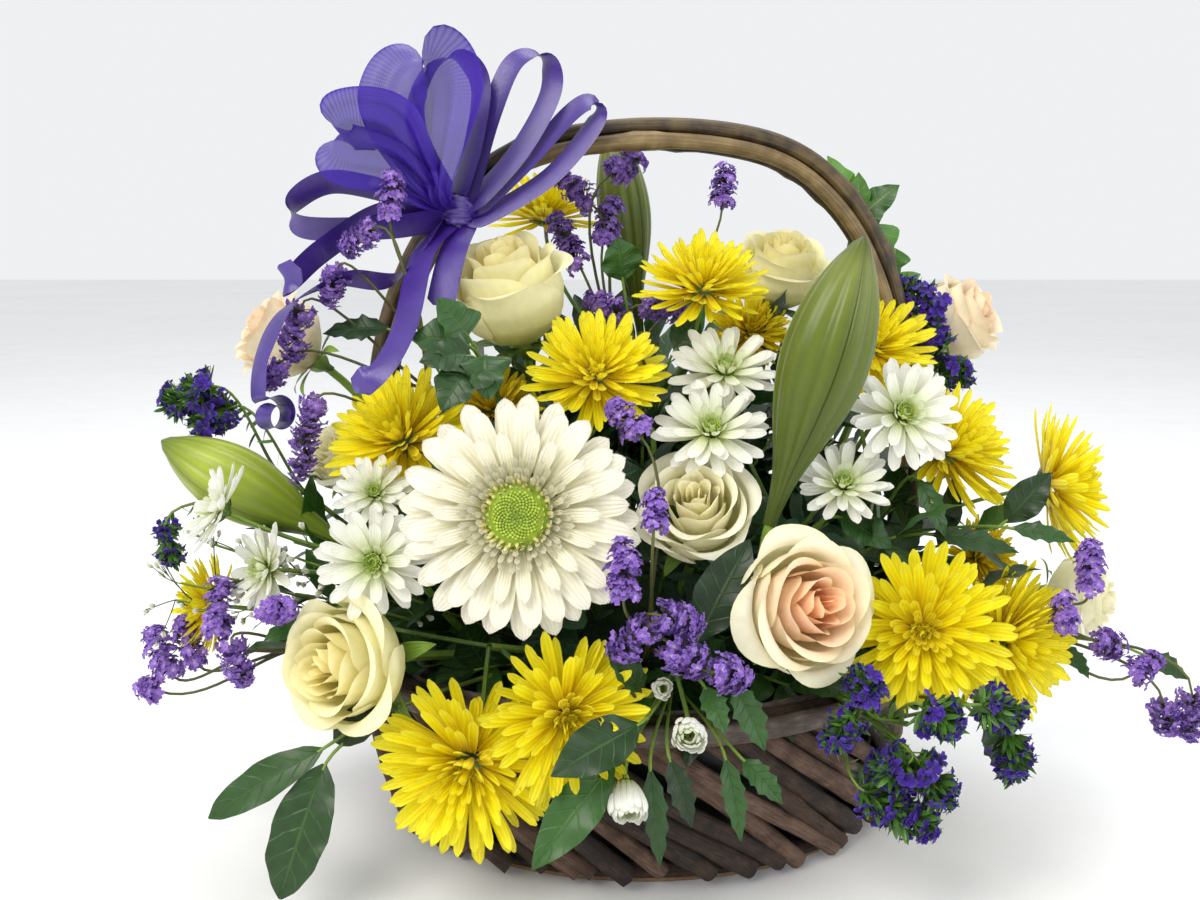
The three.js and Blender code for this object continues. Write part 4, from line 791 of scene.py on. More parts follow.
# Every finish of the arrangement, each under the name that the palette gives it.
FINISHES = {
    "twig": BarkFinish("dark_bark_dried", "#1a110d", "#4f392a", "#806655", "#8a6f57", 1.6, 1.1),
    "split": BarkFinish("split_cane_weathered", "#241d19", "#5c5049", "#8b7f78", "#8a6f57", 1.1, 0.5),
    "rod": BarkFinish("olive_cane_bark_smooth", "#2a2010", "#6a5630", "#a08c5e", "#a08a5e", 1.8, 0.35,
        0.5),
    "board": GrainFinish("raw_pine_board_sawn", "#6b5238", "#9a7c58", 2.5, 0.2, 0.8, (1, 9, 1)),
    "film": GrainFinish("liner_film_moulded", "#0d120e", "#1d2a20", 3.0, 0.15, 0.35),
    "foam": GrainFinish("wet_floral_foam_open_cell", "#12210f", "#27431f", 0.8, 0.5, 0.95),
    "satin": SatinFinish(),
    "organza": OrganzaFinish(),
    "yellow": PetalFinish("yellow_mum_petal_fresh", ((0.0, "#eccb08"), (0.25, "#fae40a"), (0.7, "#fff218"),
        (1.0, "#fff640")), "#fae80c", 0.4, 3.0, 0.22, 0.12, 0.16, 0.45, 0.28),
    # A darker copy of the yellow: painted shade for the heads that sit in shadow.
    "painted_shade_yellow": PetalFinish("painted_shade_yellow_mum_petal", ((0.0, "#dcb206"), (0.25, "#f2d208"), (0.7, "#fce60e"),
        (1.0, "#fdec28")), "#eccf0a", 0.4, 3.0, 0.22, 0.14, 0.2, 0.45, 0.24),
    "white": PetalFinish("white_mum_petal_fresh", ((0.0, "#c3d070"), (0.2, "#eaedcc"), (0.6, "#f8f8ee"),
        (1.0, "#fdfdf8")), "#c8de62", 0.7, 5.0, 0.12, 0.05, 0.06, 0.5, 0.3),
    "gerbera": PetalFinish("gerbera_petal_fresh", ((0.0, "#cdc986"), (0.3, "#eee9c4"), (0.7, "#f9f5e0"),
        (1.0, "#fdfaea")), "#f0eab0", 0.35, 5.0, 0.3, 0.1, 0.08, 0.5, 0.26),
    "anther": PetalFinish("gerbera_anther_powdery", ((0.0, "#b5b04c"), (0.5, "#e6d884"), (1.0, "#f6ecb4")),
        "#a9b244", 1.0, 2.0, 0.1, 0.1, 0.4, 0.7, 0.1),
    "lime": PetalFinish("green_disc_floret_fresh", ((0.0, "#5f7f1c"), (0.5, "#b0cc36"), (1.0, "#dcea6c")),
        "#6f8f28", 0.8, 2.0, 0.1, 0.1, 0.3, 0.5, 0.15),
    "cream": PetalFinish("cream_rose_petal_velvety", ((0.0, "#dbe492"), (0.25, "#f4f2c2"),
        (0.6, "#fbf8da"), (1.0, "#fefce8")), "#f9efb2", 0.55, 9.0, 0.03, 0.015, 0.08, 0.48, 0.3,
        "#fbf8e2"),
    "primrose": PetalFinish("primrose_rose_petal_velvety", ((0.0, "#c8d65c"), (0.3, "#f1efa2"),
        (0.65, "#fbf7c6"), (1.0, "#fefbd8")), "#f9ea92", 0.6, 9.0, 0.03, 0.015, 0.1, 0.48, 0.28,
        "#efe6b8"),
    "peach": PetalFinish("peach_rose_petal_velvety", ((0.0, "#d3dc88"), (0.3, "#f9f5cc"),
        (0.65, "#fdf8dc"), (1.0, "#fffbe8")), "#ffcda6", 1.0, 9.0, 0.03, 0.015, 0.08, 0.48, 0.3,
        "#eeecb8"),
    "blush": PetalFinish("blush_rose_petal_velvety", ((0.0, "#dcd498"), (0.3, "#f5e8c4"),
        (0.65, "#f9efd0"), (1.0, "#fbf4de")), "#f8d4ac", 0.65, 9.0, 0.03, 0.015, 0.1, 0.48, 0.28,
        "#ecd4b2"),
    "lilac": PetalFinish("lilac_floret_papery", ((0.0, "#f6f1fd"), (0.3, "#ba98e2"), (0.75, "#966ace"),
        (1.0, "#b692e6")), "#6b42a8", 0.5, 2.0, 0.15, 0.1, 0.5, 0.7, 0.25),
    "violet": PetalFinish("violet_floret_papery", ((0.0, "#a99be0"), (0.3, "#5a34b8"), (0.75, "#4722a4"),
        (1.0, "#7050cc")), "#3a1a8c", 0.5, 4.0, 0.25, 0.15, 0.5, 0.6, 0.22),
    # On the lily buds the dark edge colour is a painted shade along the seams between the tepals and at the
    # tip.
    "bud": PetalFinish("lily_bud_waxy", ((0.0, "#3f4f0c"), (0.3, "#4c5c10"), (0.7, "#5d6c1c"),
        (0.9, "#747f34"), (1.0, "#55641a")), "#2c3a0a", 0.9, 6.0, 0.14, 0.14, 0.1, 0.32, 0.0, "#323f0c"),
    "bud_lime": PetalFinish("lily_bud_lime_waxy", ((0.0, "#5f7a1c"), (0.4, "#84992a"), (0.75, "#9dac38"),
        (1.0, "#6c7f24")), "#46590f", 0.9, 6.0, 0.14, 0.16, 0.1, 0.32, 0.0, "#40590f"),
    "leaf": LeafFinish("broad_leaf_waxy", "#142c0e", "#335f22", "#567f3a", 7.0, 0.4, 0.34),
    "bright": LeafFinish("young_leaf_waxy", "#27501a", "#5b8f30", "#a2c26c"),
    "dusky": LeafFinish("dusky_leaf_waxy", "#16301c", "#3f6645", "#6a8e66", 6.0, 0.5, 0.3),
    "stem": StemFinish("green_stem_waxy", "#39581c", "#7f9f3c"),
    "twiglet": StemFinish("brown_twiglet_dry", "#38341c", "#6d7438"),
    "white_bud": PetalFinish("baby_breath_bud_fresh", ((0.0, "#b9c88a"), (0.4, "#eceedd"),
        (1.0, "#ffffff")), "#dfe8b0", 0.3, 2.0, 0.1, 0.1, 0.1, 0.6, 0.2),
}


class Palette:
    """The materials of the finishes, each under its name in the table."""

    def __init__(self) -> None:
        """Makes the materials."""
        for name, finish in FINISHES.items():
            setattr(self, name, finish.build())


# -------------------------------------------------------------------- basket


@dataclass
class Basket:
    """Oval basket of slanting twigs on a board, with a split-cane rim, a liner and wet foam.

    Attributes:
        base: Half axes of the wall's middle line at the foot.
        rim: Half axes of the wall's middle line at the rim.
        height: Height of the rim's middle.
        twigs: How many twigs stand side by side.
        twig_radius: Their usual radius.
        sweep: How far round a twig moves on its way down, in radians.
        foam: Half axes of the foam's dome.
        foam_middle: Height of the middle of the foam's dome.
    """

    base: tuple[float, float] = (124.0, 98.0)
    rim: tuple[float, float] = (138.0, 115.0)
    height: float = 84.0
    twigs: int = 50
    twig_radius: float = 4.75
    sweep: float = 0.86
    foam: tuple[float, float, float] = (86.0, 62.0, 62.0)
    foam_middle: float = 60.0

    def wall(self, angle: Array | float, share: Array | float, out: float = 0.0) -> Array:
        """Point of the wall's middle line at an angle, from the foot (0) to the rim (1), moved out."""
        angle, share = vec(angle), vec(share)
        x = self.base[0] + (self.rim[0] - self.base[0]) * share + out
        y = self.base[1] + (self.rim[1] - self.base[1]) * share + out
        return np.stack([x * np.cos(angle), y * np.sin(angle), share * self.height + 0 * angle], -1)

    def build(self, palette: Palette) -> None:
        """Makes the wall, hoops, board, liner and foam."""
        rng = np.random.default_rng(11)
        skin = Skin()
        for i in range(self.twigs):
            start = i / self.twigs * 2 * math.pi + rng.normal(0, 0.012)
            share = np.linspace(1.0 + rng.uniform(-0.03, 0.02), 0.055 + rng.uniform(-0.01, 0.05), 16)
            wander = 0.035 * np.sin(np.linspace(0, 4, 16) + rng.uniform(0, 6))
            angle = start + self.sweep * (1 - share) + wander
            line = self.wall(angle, share, 0.6 + rng.normal(0, 1.1))
            radius = self.twig_radius * rng.uniform(0.84, 1.06) * np.linspace(0.94, 1.04, 16)
            for _ in range(int(rng.integers(0, 3))):
                knot = np.exp(-((np.arange(16) - rng.uniform(2, 14)) ** 2) / 0.6)
                radius = radius * (1 + 0.2 * knot)
            tube(skin, line, radius, 12, rng.random(), 0.0, 0.035, rng, 1.0)
        skin.piece("basket_twigs", palette.twig, "bark_twig", ["basket_wall"])

        skin = Skin()
        turn = np.linspace(0, 2 * math.pi, 97)[:-1]
        for low, high, out, thick in ((0.9, 1.035, 6.2, 2.6), (0.92, 1.06, -6.0, 2.4)):
            ring = []
            for height, away in ((low, 0), (low + 0.02, thick), (0.5 * (low + high), thick * 1.15),
                                 (high - 0.02, thick), (high, 0), (0.5 * (low + high), -0.6)):
                wobble = 0.5 * np.sin(turn * 5 + out) + 0.3 * np.sin(turn * 11)
                point = self.wall(turn, height, out * 0.86 + math.copysign(away, out))
                point[:, 2] += wobble
                ring.append(point)
            points = np.stack(ring + [ring[0]], 0)
            if out < 0:
                points = points[::-1]
            skin.grid(np.concatenate([points, points[:, :1]], 1).transpose(1, 0, 2)[:, ::-1],
                      along=np.linspace(0, 8, 97), tone=0.6)
        skin.piece("basket_rim_band", palette.split, "bark_twig", ["basket_wall"])

        skin = Skin()
        for share, out, radius in ((0.06, -7.5, 4.2), (1.0, -2.4, 3.6)):
            line = self.wall(turn, share, out)
            line = np.vstack([line, line[:1]])
            u = np.stack([np.cos(turn), np.sin(turn), 0 * turn], 1)
            u = np.vstack([u, u[:1]])
            spin = np.arange(9) / 8 * 2 * math.pi
            points = line[:, None] + radius * (u[:, None] * np.cos(spin)[None, :, None]
                                               + np.array([0, 0, 1.0]) * np.sin(spin)[None, :, None])
            skin.grid(points[:, ::-1], along=np.linspace(0, 8, 97), tone=0.3)
        skin.piece("basket_hoops", palette.twig, "bark_twig", ["basket_wall"])

        self.oval("basket_board", palette.board, "floor_board", "basket_floor",
                  ((0.0, 0.0), (118.6, 0.0), (119.3, 0.7), (119.3, 5.3), (118.6, 6.0), (0.0, 6.0)), 0.79)
        self.oval("liner_shell", palette.film, "liner_film", "liner",
                  ((0.0, 6.35), (106.5, 6.35), (108.0, 7.8), (113.0, 45.0), (119.0, 87.0), (117.4, 87.0),
                   (111.4, 45.0), (106.4, 9.0), (0.0, 8.0)), 0.8)
        x, _, z = self.foam
        dome = [(0.0, 8.4), (x, 8.4), (x, self.foam_middle)]
        dome += [(x * math.cos(a), self.foam_middle + z * math.sin(a))
                 for a in np.linspace(0.1, math.pi / 2, 18)]
        self.oval("foam_dome", palette.foam, "wet_foam", "foam", dome, self.foam[1] / x, 0.7)

    def oval(self, name: str, material: Material, slot: str, node: str,
             profile: Sequence[tuple[float, float]], squash: float, rough: float = 0.0) -> None:
        """Makes an oval piece turned from a profile of radius and height."""
        rng = np.random.default_rng(5)
        turn = np.linspace(0, 2 * math.pi, 73)[:-1]
        points = np.array([[(r * math.cos(a), r * squash * math.sin(a), z) for a in turn]
                           for r, z in ((max(r, 0.05), z) for r, z in profile)])
        points[1:-1] += rng.normal(0, rough, points[1:-1].shape) if rough else 0
        skin = Skin()
        skin.grid(points, closed=True)
        skin.piece(name, material, slot, [node])

    def socket(self, target: Point) -> tuple[Array, Array]:
        """Where a stem leaves the foam for a target, and in which direction."""
        half = np.array(self.foam)
        wish = unit((vec(target) - [0, 0, self.foam_middle]) / half)
        wish[2] = max(wish[2], 0.42)
        out = unit(unit(wish) * half)
        return unit(wish) * half + [0, 0, self.foam_middle], out

    def stem(self, aim: Point, end: Point, arriving: Point, count: int, root: float = 20.0,
             leaving: float = 0.4, turning: float = 0.3) -> Array:
        """Middle line of a stem from within the foam, which it leaves for an aim.

        Args:
            aim: What it leaves the foam for.
            end: Where it ends.
            arriving: The direction that it ends in.
            count: How many points to return.
            root: How far it reaches into the foam.
            leaving: How stiffly it leaves the foam, as a share of its span.
            turning: How stiffly it turns to its last direction, as a share of its span.

        Returns:
            An array of count points.
        """
        mouth, out = self.socket(aim)
        end = vec(end)
        span = norm(end - mouth)
        turn = end - unit(arriving) * span * turning
        return bezier(mouth - out * root, mouth + out * span * leaving, turn, end, count)


@dataclass
class Handle:
    """Arched handle of three canes that lie together.

    Attributes:
        half: Half the arch's width.
        spring: Height where the arch starts.
        top: Height of its middle line at the top.
        power: How square the arch is.
        radius: Of a cane.
    """

    half: float = 131.0
    spring: float = 140.0
    top: float = 334.0
    power: float = 2.7
    radius: float = 3.9

    def path(self, across: tuple[float, float], outward: tuple[float, float]) -> Array:
        """Middle line of a cane, from the left foot over the top to the right foot."""
        legs = [(24, 0.2), (60, 0.66), (96, 1.0)]
        points = [(-(113.6 + 11 * s + outward[0]), across[0], z) for z, s in legs]
        for i in range(11):
            angle = math.pi * (1 - i / 10)
            c, s = math.cos(angle), max(math.sin(angle), 0.0)
            x = math.copysign(abs(c) ** (2 / self.power), c)
            z = s ** (2 / self.power)
            points.append((6 * s + (self.half + outward[1]) * x, across[1],
                           self.spring + (self.top - self.spring + outward[1]) * z))
        points += [(113.6 + 11 * s + outward[0], across[0], z) for z, s in reversed(legs)]
        return catmull(points, 150)

    def build(self, palette: Palette) -> None:
        """Makes the three canes, with knots and a slight wander."""
        rng = np.random.default_rng(21)
        plans = {"handle_rod_outer": ((0, 0), (0, 7.2)), "handle_rod_front": ((-9.2, -4.6), (0, 0)),
                 "handle_rod_back": ((9.2, 4.6), (0, 0))}
        for name, (across, outward) in plans.items():
            line = self.path(across, outward)
            share = np.linspace(0, 1, len(line))
            wander = [far * np.sin(share * pace + rng.uniform(0, 6))
                      for far, pace in ((0.5, 17), (0.9, 13), (0.5, 19))]
            line = line + np.stack(wander, 1)
            radius = self.radius * (1 + 0.05 * np.sin(share * 23 + rng.uniform(0, 6)))
            for _ in range(9):
                radius = radius + 0.9 * np.exp(-((share - rng.random()) / 0.006) ** 2)
            skin = Skin()
            tube(skin, line, radius, 12, rng.random(), 0.0, 0.02, rng, 1.0)
            skin.piece(name + "_cane", palette.rod, "bark_rod", [name])


# -------------------------------------------------------------------- ribbons


@dataclass
class Ribbon:
    """A run of ribbon.

    Attributes:
        points: The points it passes.
        across: The direction of its width at its start.
        across_end: The same at its end, or None for the same.
        width: Its width.
        camber: How far it bulges, as a share of its width.
        ruffle: How deep its long folds are, as a share of its width.
        gather: Share of its width at the knot, and how fast it opens from there.
    """

    points: Sequence[Point]
    across: Point
    across_end: Point | None = None
    width: float = 13.0
    camber: float = 0.06
    ruffle: float = 0.0
    gather: tuple[float, float] = (0.5, 9.0)

    def add_to(self, skin: Skin, rng: Draws) -> float:
        """Adds the run to a skin.

        Args:
            skin: Where it is added.
            rng: The draws for its folds.

        Returns:
            Its length in mm.
        """
        line = catmull(self.points, 112)
        for _ in range(4):
            line[1:-1] = (line[:-2] + 2 * line[1:-1] + line[2:]) / 4
        way = tangents(line)
        start = vec(self.across)
        end = np.asarray(self.across_end if self.across_end is not None else self.across, float)
        t = np.linspace(0, 1, len(line))
        wide = start + (end - start) * t[:, None]
        wide = wide - way * np.sum(wide * way, 1, keepdims=True)
        wide = wide / np.linalg.norm(wide, axis=1, keepdims=True)
        normal = np.cross(way, wide)
        s = np.linspace(-1, 1, 21 if self.ruffle else 9)
        width = np.full(len(line), self.width)
        width = width * np.clip(self.gather[0] + np.minimum(t, 1 - t) * self.gather[1], 0, 1)
        fold = self.camber * (1 - s[None] ** 2) * np.ones((len(line), 1))
        if self.ruffle:
            phase = rng.uniform(0, 6)
            pinch = np.clip(1 - np.minimum(t, 1 - t) * 2.2, 0.15, 1)[:, None]
            fold = fold + self.ruffle * pinch * np.sin(s[None] * 9 + phase + t[:, None] * 2)
        points = (line[:, None] + wide[:, None] * (s[None, :, None] * width[:, None, None] / 2)
                  + normal[:, None] * (fold * width[:, None])[..., None])
        length = float(np.linalg.norm(np.diff(line, axis=0), axis=1).sum())
        skin.grid(points, along=t * length / 150, tone=rng.random())
        return length


@dataclass
class Bow:
    """Bow on the left shoulder of the handle: satin loops and tails over sheer organza loops.

    Attributes:
        knot: Its middle.
        near: How near the knot a loop's end comes, where a tail's end lies farther off.
        tuck: How far from the knot's middle a run starts, as a share of its first point's distance.
        seat: Where the band goes round the handle, as a share of the handle's length.
        band: Radius of the band.
        satin_width: Width of the satin ribbon.
        organza_width: Usual width of the organza ribbon. Not used.
    """

    knot: Point = (-87, -22, 300)
    near: float = 30.0
    tuck: float = 0.25
    seat: float = 0.365
    band: float = 11.4
    satin_width: float = 13.0
    organza_width: float = 28.0

    def tied(self, run: Ribbon) -> Ribbon:
        """A run with the points that tie its start, and the end of a loop, into the knot."""
        knot = vec(self.knot)
        first, last = (vec(run.points[end]) - knot for end in (0, -1))
        points = [knot + self.tuck * first, *run.points]
        if norm(last) < self.near:
            points.append(knot + self.tuck * last)
        return replace(run, points=points)

    @staticmethod
    def coil(middle: Point, axis: Point, radius: float) -> list[Point]:
        """Points of a ribbon's curled end, which turns one and a half times round a level axis."""
        turns = np.linspace(-0.7, 8.6, 16)
        along = unit(axis)
        side = np.cross([0, 0, 1], along)
        return [tuple(np.asarray(middle) + along * 0.35 * k + side * (radius - 0.28 * k) * math.sin(a)
                      + np.array([0, 0, 1]) * (radius - 0.28 * k) * math.cos(a)) for k, a in enumerate(turns)]

    def satin(self) -> list[Ribbon]:
        """The satin runs: four loops and four tails."""
        return [
            Ribbon([(-94, -26, 297), (-118, -32, 293), (-158, -30, 293), (-164, -26, 303), (-146, -24, 314),
                    (-116, -22, 309), (-96, -20, 305)], (0.1, -0.55, 0.8)),
            Ribbon([(-91, -22, 308), (-106, -20, 340), (-101, -14, 364), (-87, -12, 372), (-76, -14, 360),
                    (-79, -20, 332), (-86, -22, 309)], (0.75, -0.62, 0.1)),
            Ribbon([(-82, -22, 308), (-71, -18, 345), (-60, -12, 370), (-46, -10, 372), (-43, -12, 356),
                    (-58, -19, 328), (-79, -23, 305)], (0.72, -0.6, -0.35)),
            Ribbon([(-78, -22, 302), (-56, -20, 322), (-34, -14, 346), (-23, -12, 352), (-22, -14, 342),
                    (-44, -21, 316), (-77, -24, 297)], (0.35, -0.7, -0.6)),
            Ribbon([(-92, -26, 293), (-101, -44, 280), (-105, -74, 250), (-114, -88, 232), (-126, -86, 226)],
                   (0.9, -0.3, 0.1)),
            Ribbon([(-84, -26, 293), (-88, -40, 280), (-92, -54, 258)], (0.8, 0.2, 0.3)),
            Ribbon([(-97, -22, 299), (-122, -34, 298), (-146, -48, 282), (-160, -56, 268), (-154, -62, 277)],
                   (0.2, -0.3, 0.9)),
            Ribbon([(-95, -27, 294), (-112, -46, 270), (-136, -54, 270), (-158, -60, 258), (-172, -58, 236),
                    *self.coil((-168, -62, 210), (0.72, -0.69, 0), 9.0)], (0.6, -0.4, 0.7), (0.72, -0.69, 0)),
        ]

    def organza(self) -> list[Ribbon]:
        """The organza runs: wide loops that stand up behind the satin."""
        return [
            Ribbon([(-100, -39, 308), (-114, -47, 320), (-136, -51, 326), (-136, -49, 338), (-114, -47, 338),
                    (-100, -41, 316)], (0.3, -0.45, 0.85), None, 30, 0.1, 0.15, (0.2, 2.6)),
            Ribbon([(-98, -39, 308), (-113, -41, 342), (-110, -39, 362), (-96, -37, 369), (-88, -37, 352),
                    (-94, -39, 309)], (0.95, -0.35, 0.1), None, 36, 0.1, 0.15, (0.2, 2.2)),
        ]

    def build(self, palette: Palette, handle: Handle) -> None:
        rng = np.random.default_rng(31)
        skin = Skin()
        total = sum(self.tied(run).add_to(skin, rng) for run in self.satin())
        rods = handle.path((0, 0), (0, 3.0))
        place, beyond = rods[int(self.seat * len(rods)):][:2]
        way = unit(beyond - place)
        u, v = frame_of(way)
        turn = np.linspace(0, 2 * math.pi, 40)
        ring = place + self.band * (u * np.cos(turn)[:, None] + v * np.sin(turn)[:, None])
        half = self.satin_width / 2
        band = ring[:, None] + way * (np.linspace(-half, half, 5)[None, :, None])
        skin.grid(band, along=np.linspace(0, 0.5, 40), tone=0.4)
        total += 2 * math.pi * self.band
        satin = skin.piece("bow_satin_ribbon", palette.satin, "satin_ribbon", ["bow_satin"])

        skin = Skin()
        knot = vec(self.knot)
        for k, tilt in enumerate((0.0, 0.5, -0.4)):
            turn = np.linspace(0, 2 * math.pi, 26)[:-1]
            s = np.linspace(-1, 1, 25)
            radius = np.array([7.6, 7.0, 6.6])[k] * (1 - 0.12 * s**2) * (1 + 0.05 * np.cos(s * 14 + k))
            cross = np.stack([np.cos(turn) * 0.95, np.sin(turn) * 1.1], 1)
            up = unit([math.sin(tilt), 0.15, math.cos(tilt)])
            a, b = frame_of(up)
            points = (knot + a * (cross[None, :, 0:1] * radius[:, None, None])
                      + b * (cross[None, :, 1:2] * radius[:, None, None]) + up * (s * 6.5)[:, None, None])
            skin.grid(points.transpose(1, 0, 2), across=s, tone=0.3 + 0.2 * k)
        skin.piece("bow_knot", palette.satin, "satin_ribbon", ["bow_satin"])

        skin = Skin()
        area = sum(self.tied(run).add_to(skin, rng) * run.width for run in self.organza())
        organza = skin.piece("bow_organza_ribbon", palette.organza, "organza_ribbon", ["bow_organza"])


# -------------------------------------------------------------------- flower heads


@dataclass
class Bloom:
    """Where a head stands: its receptacle, facing (azimuth, elevation), diameter and node."""

    node: str
    at: Point
    faces: tuple[float, float]
    size: float

    @property
    def axis(self) -> Array:
        """The direction that the head faces."""
        return facing(*self.faces)

    def round(self, angle: float) -> Array:
        """The direction outwards from the axis at an angle round it."""
        return around(self.axis, angle)


def rows_of(skin: Skin, bloom: Bloom, scale: float, rows: Sequence[tuple[int, float, float, float, Blade]],
            rng: Draws, jitter: float = 0.1) -> None:
    """Adds rows of petals round a head.

    Args:
        skin: Where they are added.
        bloom: The head.
        scale: Its size, as a share of the rows' plan.
        rows: For each row, the count, the ring's radius and height, the layer mark and the petal.
        rng: The draws for their unevenness.
        jitter: How uneven they are.
    """
    at = vec(bloom.at)
    for level, (count, radius, height, layer, blade) in enumerate(rows):
        for i in range(count):
            angle = (i + 0.5 * (level % 2)) / count * 2 * math.pi + rng.normal(0, jitter * 1.6 / count)
            out = bloom.round(angle)
            root = at + bloom.axis * height * scale + out * radius * scale
            lean = rng.normal(0, jitter)
            turned = unit(out + np.cross(bloom.axis, out) * rng.normal(0, jitter))
            above = unit(bloom.axis - turned * lean)
            grow(skin, blade, root, unit(turned + bloom.axis * lean), above, rng.random(), layer,
                 rng.uniform(0, 6), scale * rng.uniform(1 - 1.2 * jitter, 1 + 0.5 * jitter))


def dome(skin: Skin, bloom: Bloom, radius: float, height: float, bumps: int, size: float, base: float,
         layers: tuple[float, float], rng: Draws) -> None:
    """Adds a head's disc: packed round florets on a dome, each turned from the last by DISC_TURN, pi times
    three less the root of five.
    """
    at = vec(bloom.at)
    rise = np.array([-0.3, 0.5, 1.0, 1.15])
    wide = np.array([0.8, 1.0, 0.62, 0.05])
    for k in range(bumps):
        share = math.sqrt((k + 0.5) / bumps)
        out = bloom.round(k * DISC_TURN)
        root = at + bloom.axis * (base + height * (1 - share**2)) + out * radius * share
        way = unit(bloom.axis + out * share * 0.7)
        grain = size * rng.uniform(0.8, 1.15)
        points = turned(root, way, 6, wide * grain, rise * grain)
        skin.grid(points, along=np.linspace(0, 1, 4), tone=rng.random(), closed=True,
                  layer=layers[0] + (layers[1] - layers[0]) * share)


class Flower(Enum):
    """The kinds of chrysanthemum head."""

    YELLOW = "yellow"
    WHITE = "white"
    BUD = "bud"


def mum_rows(kind: Flower) -> list[tuple[int, float, float, float, Blade]]:
    """The rows of petals of a chrysanthemum head, planned for a 70 mm yellow or 48 mm white head."""
    if kind is Flower.YELLOW:
        plan = [(19, 7.5, -2, 0.0, 30, 4.7, 0.04, 0.1), (19, 8, 0, 0.0, 30, 4.7, 0.17, 0.1),
                (18, 8, 2, 0.1, 29, 4.6, 0.32, 0.08), (17, 7.4, 3.6, 0.2, 28, 4.6, 0.48, 0.06),
                (16, 6.6, 5, 0.3, 25.5, 4.4, 0.66, 0.03), (15, 5.6, 6.2, 0.45, 22.5, 4.1, 0.84, 0.0),
                (13, 4.4, 7.2, 0.6, 19, 3.7, 1.02, -0.04), (11, 3.2, 8, 0.75, 15.5, 3.3, 1.2, -0.1),
                (8, 1.8, 8.6, 0.9, 12, 2.9, 1.38, -0.15)]
        return [(n, r, h, layer, Blade(Outline.STRAP, length, width, rise, bend, 0.25, 1.0, notch=0.035,
                                       rows=9, columns=5))
                for n, r, h, layer, length, width, rise, bend in plan]
    if kind is Flower.WHITE:
        plan = [(13, 4.6, -1, 0.0, 21, 6.0, -0.04, 0.2), (12, 4.6, 0.6, 0.0, 20, 5.8, 0.18, 0.22),
                (9, 4.4, 1.6, 0.1, 17, 5.6, 0.42, 0.26), (8, 3.8, 2.6, 0.5, 8.5, 3.6, 0.8, 0.5),
                (9, 3.0, 3.4, 0.95, 5.6, 2.3, 1.05, 0.5), (7, 1.7, 3.8, 1.0, 4.6, 2.0, 1.3, 0.4)]
        return [(n, r, h, layer, Blade(Outline.STRAP, length, width, rise, bend, 0.2, 0.85, groove=0.04,
                                       rows=8, columns=7))
                for n, r, h, layer, length, width, rise, bend in plan]
    plan = [(14, 8, 0, 0.0, 26, 8, 1.0, 0.6), (12, 7.2, 2, 0.1, 25, 7.6, 1.1, 0.62),
            (10, 5.6, 4, 0.5, 22, 7, 1.2, 0.55)]
    return [(n, r, h, layer, Blade(Outline.SPOON, length, width, rise, bend, 0.5, 0.9, rows=9, columns=5))
            for n, r, h, layer, length, width, rise, bend in plan]


@dataclass
class YellowMum(Bloom):
    """Yellow chrysanthemum: rows of narrow troughed petals, shorter and steeper towards its middle."""

    # Whether its petals take the darker copy of the yellow, a painted shade for a head that sits in shadow.
    painted_shade_yellow: bool = False

    def build(self, palette: Palette, seed: int) -> None:
        """Makes the head, its disc and its green bracts."""
        rng = np.random.default_rng(seed)
        scale = self.size / 70
        skin = Skin()
        rows_of(skin, self, scale, mum_rows(Flower.YELLOW), rng, 0.14)
        dome(skin, self, 4.6 * scale, 3.4 * scale, 44, 1.0 * scale, 8.2 * scale, (1.0, 0.6), rng)
        material = palette.painted_shade_yellow if self.painted_shade_yellow else palette.yellow
        skin.piece(self.node + "_petals", material, "yellow_petal", [self.node])
        calyx(self, palette, 7.6 * scale, 6 * scale, 14, self.node, self.node, rng)


def calyx(bloom: Bloom, palette: Palette, radius: float, depth: float, bracts: int, name: str, node: str,
          rng: Draws) -> None:
    """Makes the green cup behind a head, with its small bracts."""
    skin = Skin()
    at = vec(bloom.at)
    wide = np.array([0.2, 0.32, 0.75, 1.0, 1.02])
    high = np.array([-1.15, -1.0, -0.75, -0.3, 0.1])
    skin.grid(turned(at, bloom.axis, 16, wide * radius, high * depth), closed=True, tone=0.5)
    blade = Blade(Outline.NEEDLE, radius * 1.2, radius * 0.42, 0.35, 0.5, cup=0.5, rows=5, columns=3)
    for i in range(bracts):
        out = bloom.round((i + rng.uniform(0, 0.3)) / bracts * 2 * math.pi)
        root = at - bloom.axis * depth * 0.8 + out * radius * 0.72
        grow(skin, blade, root, out, bloom.axis, rng.random(), 0.0)
    skin.piece(name + "_calyx", palette.stem, "stem_green", [node])


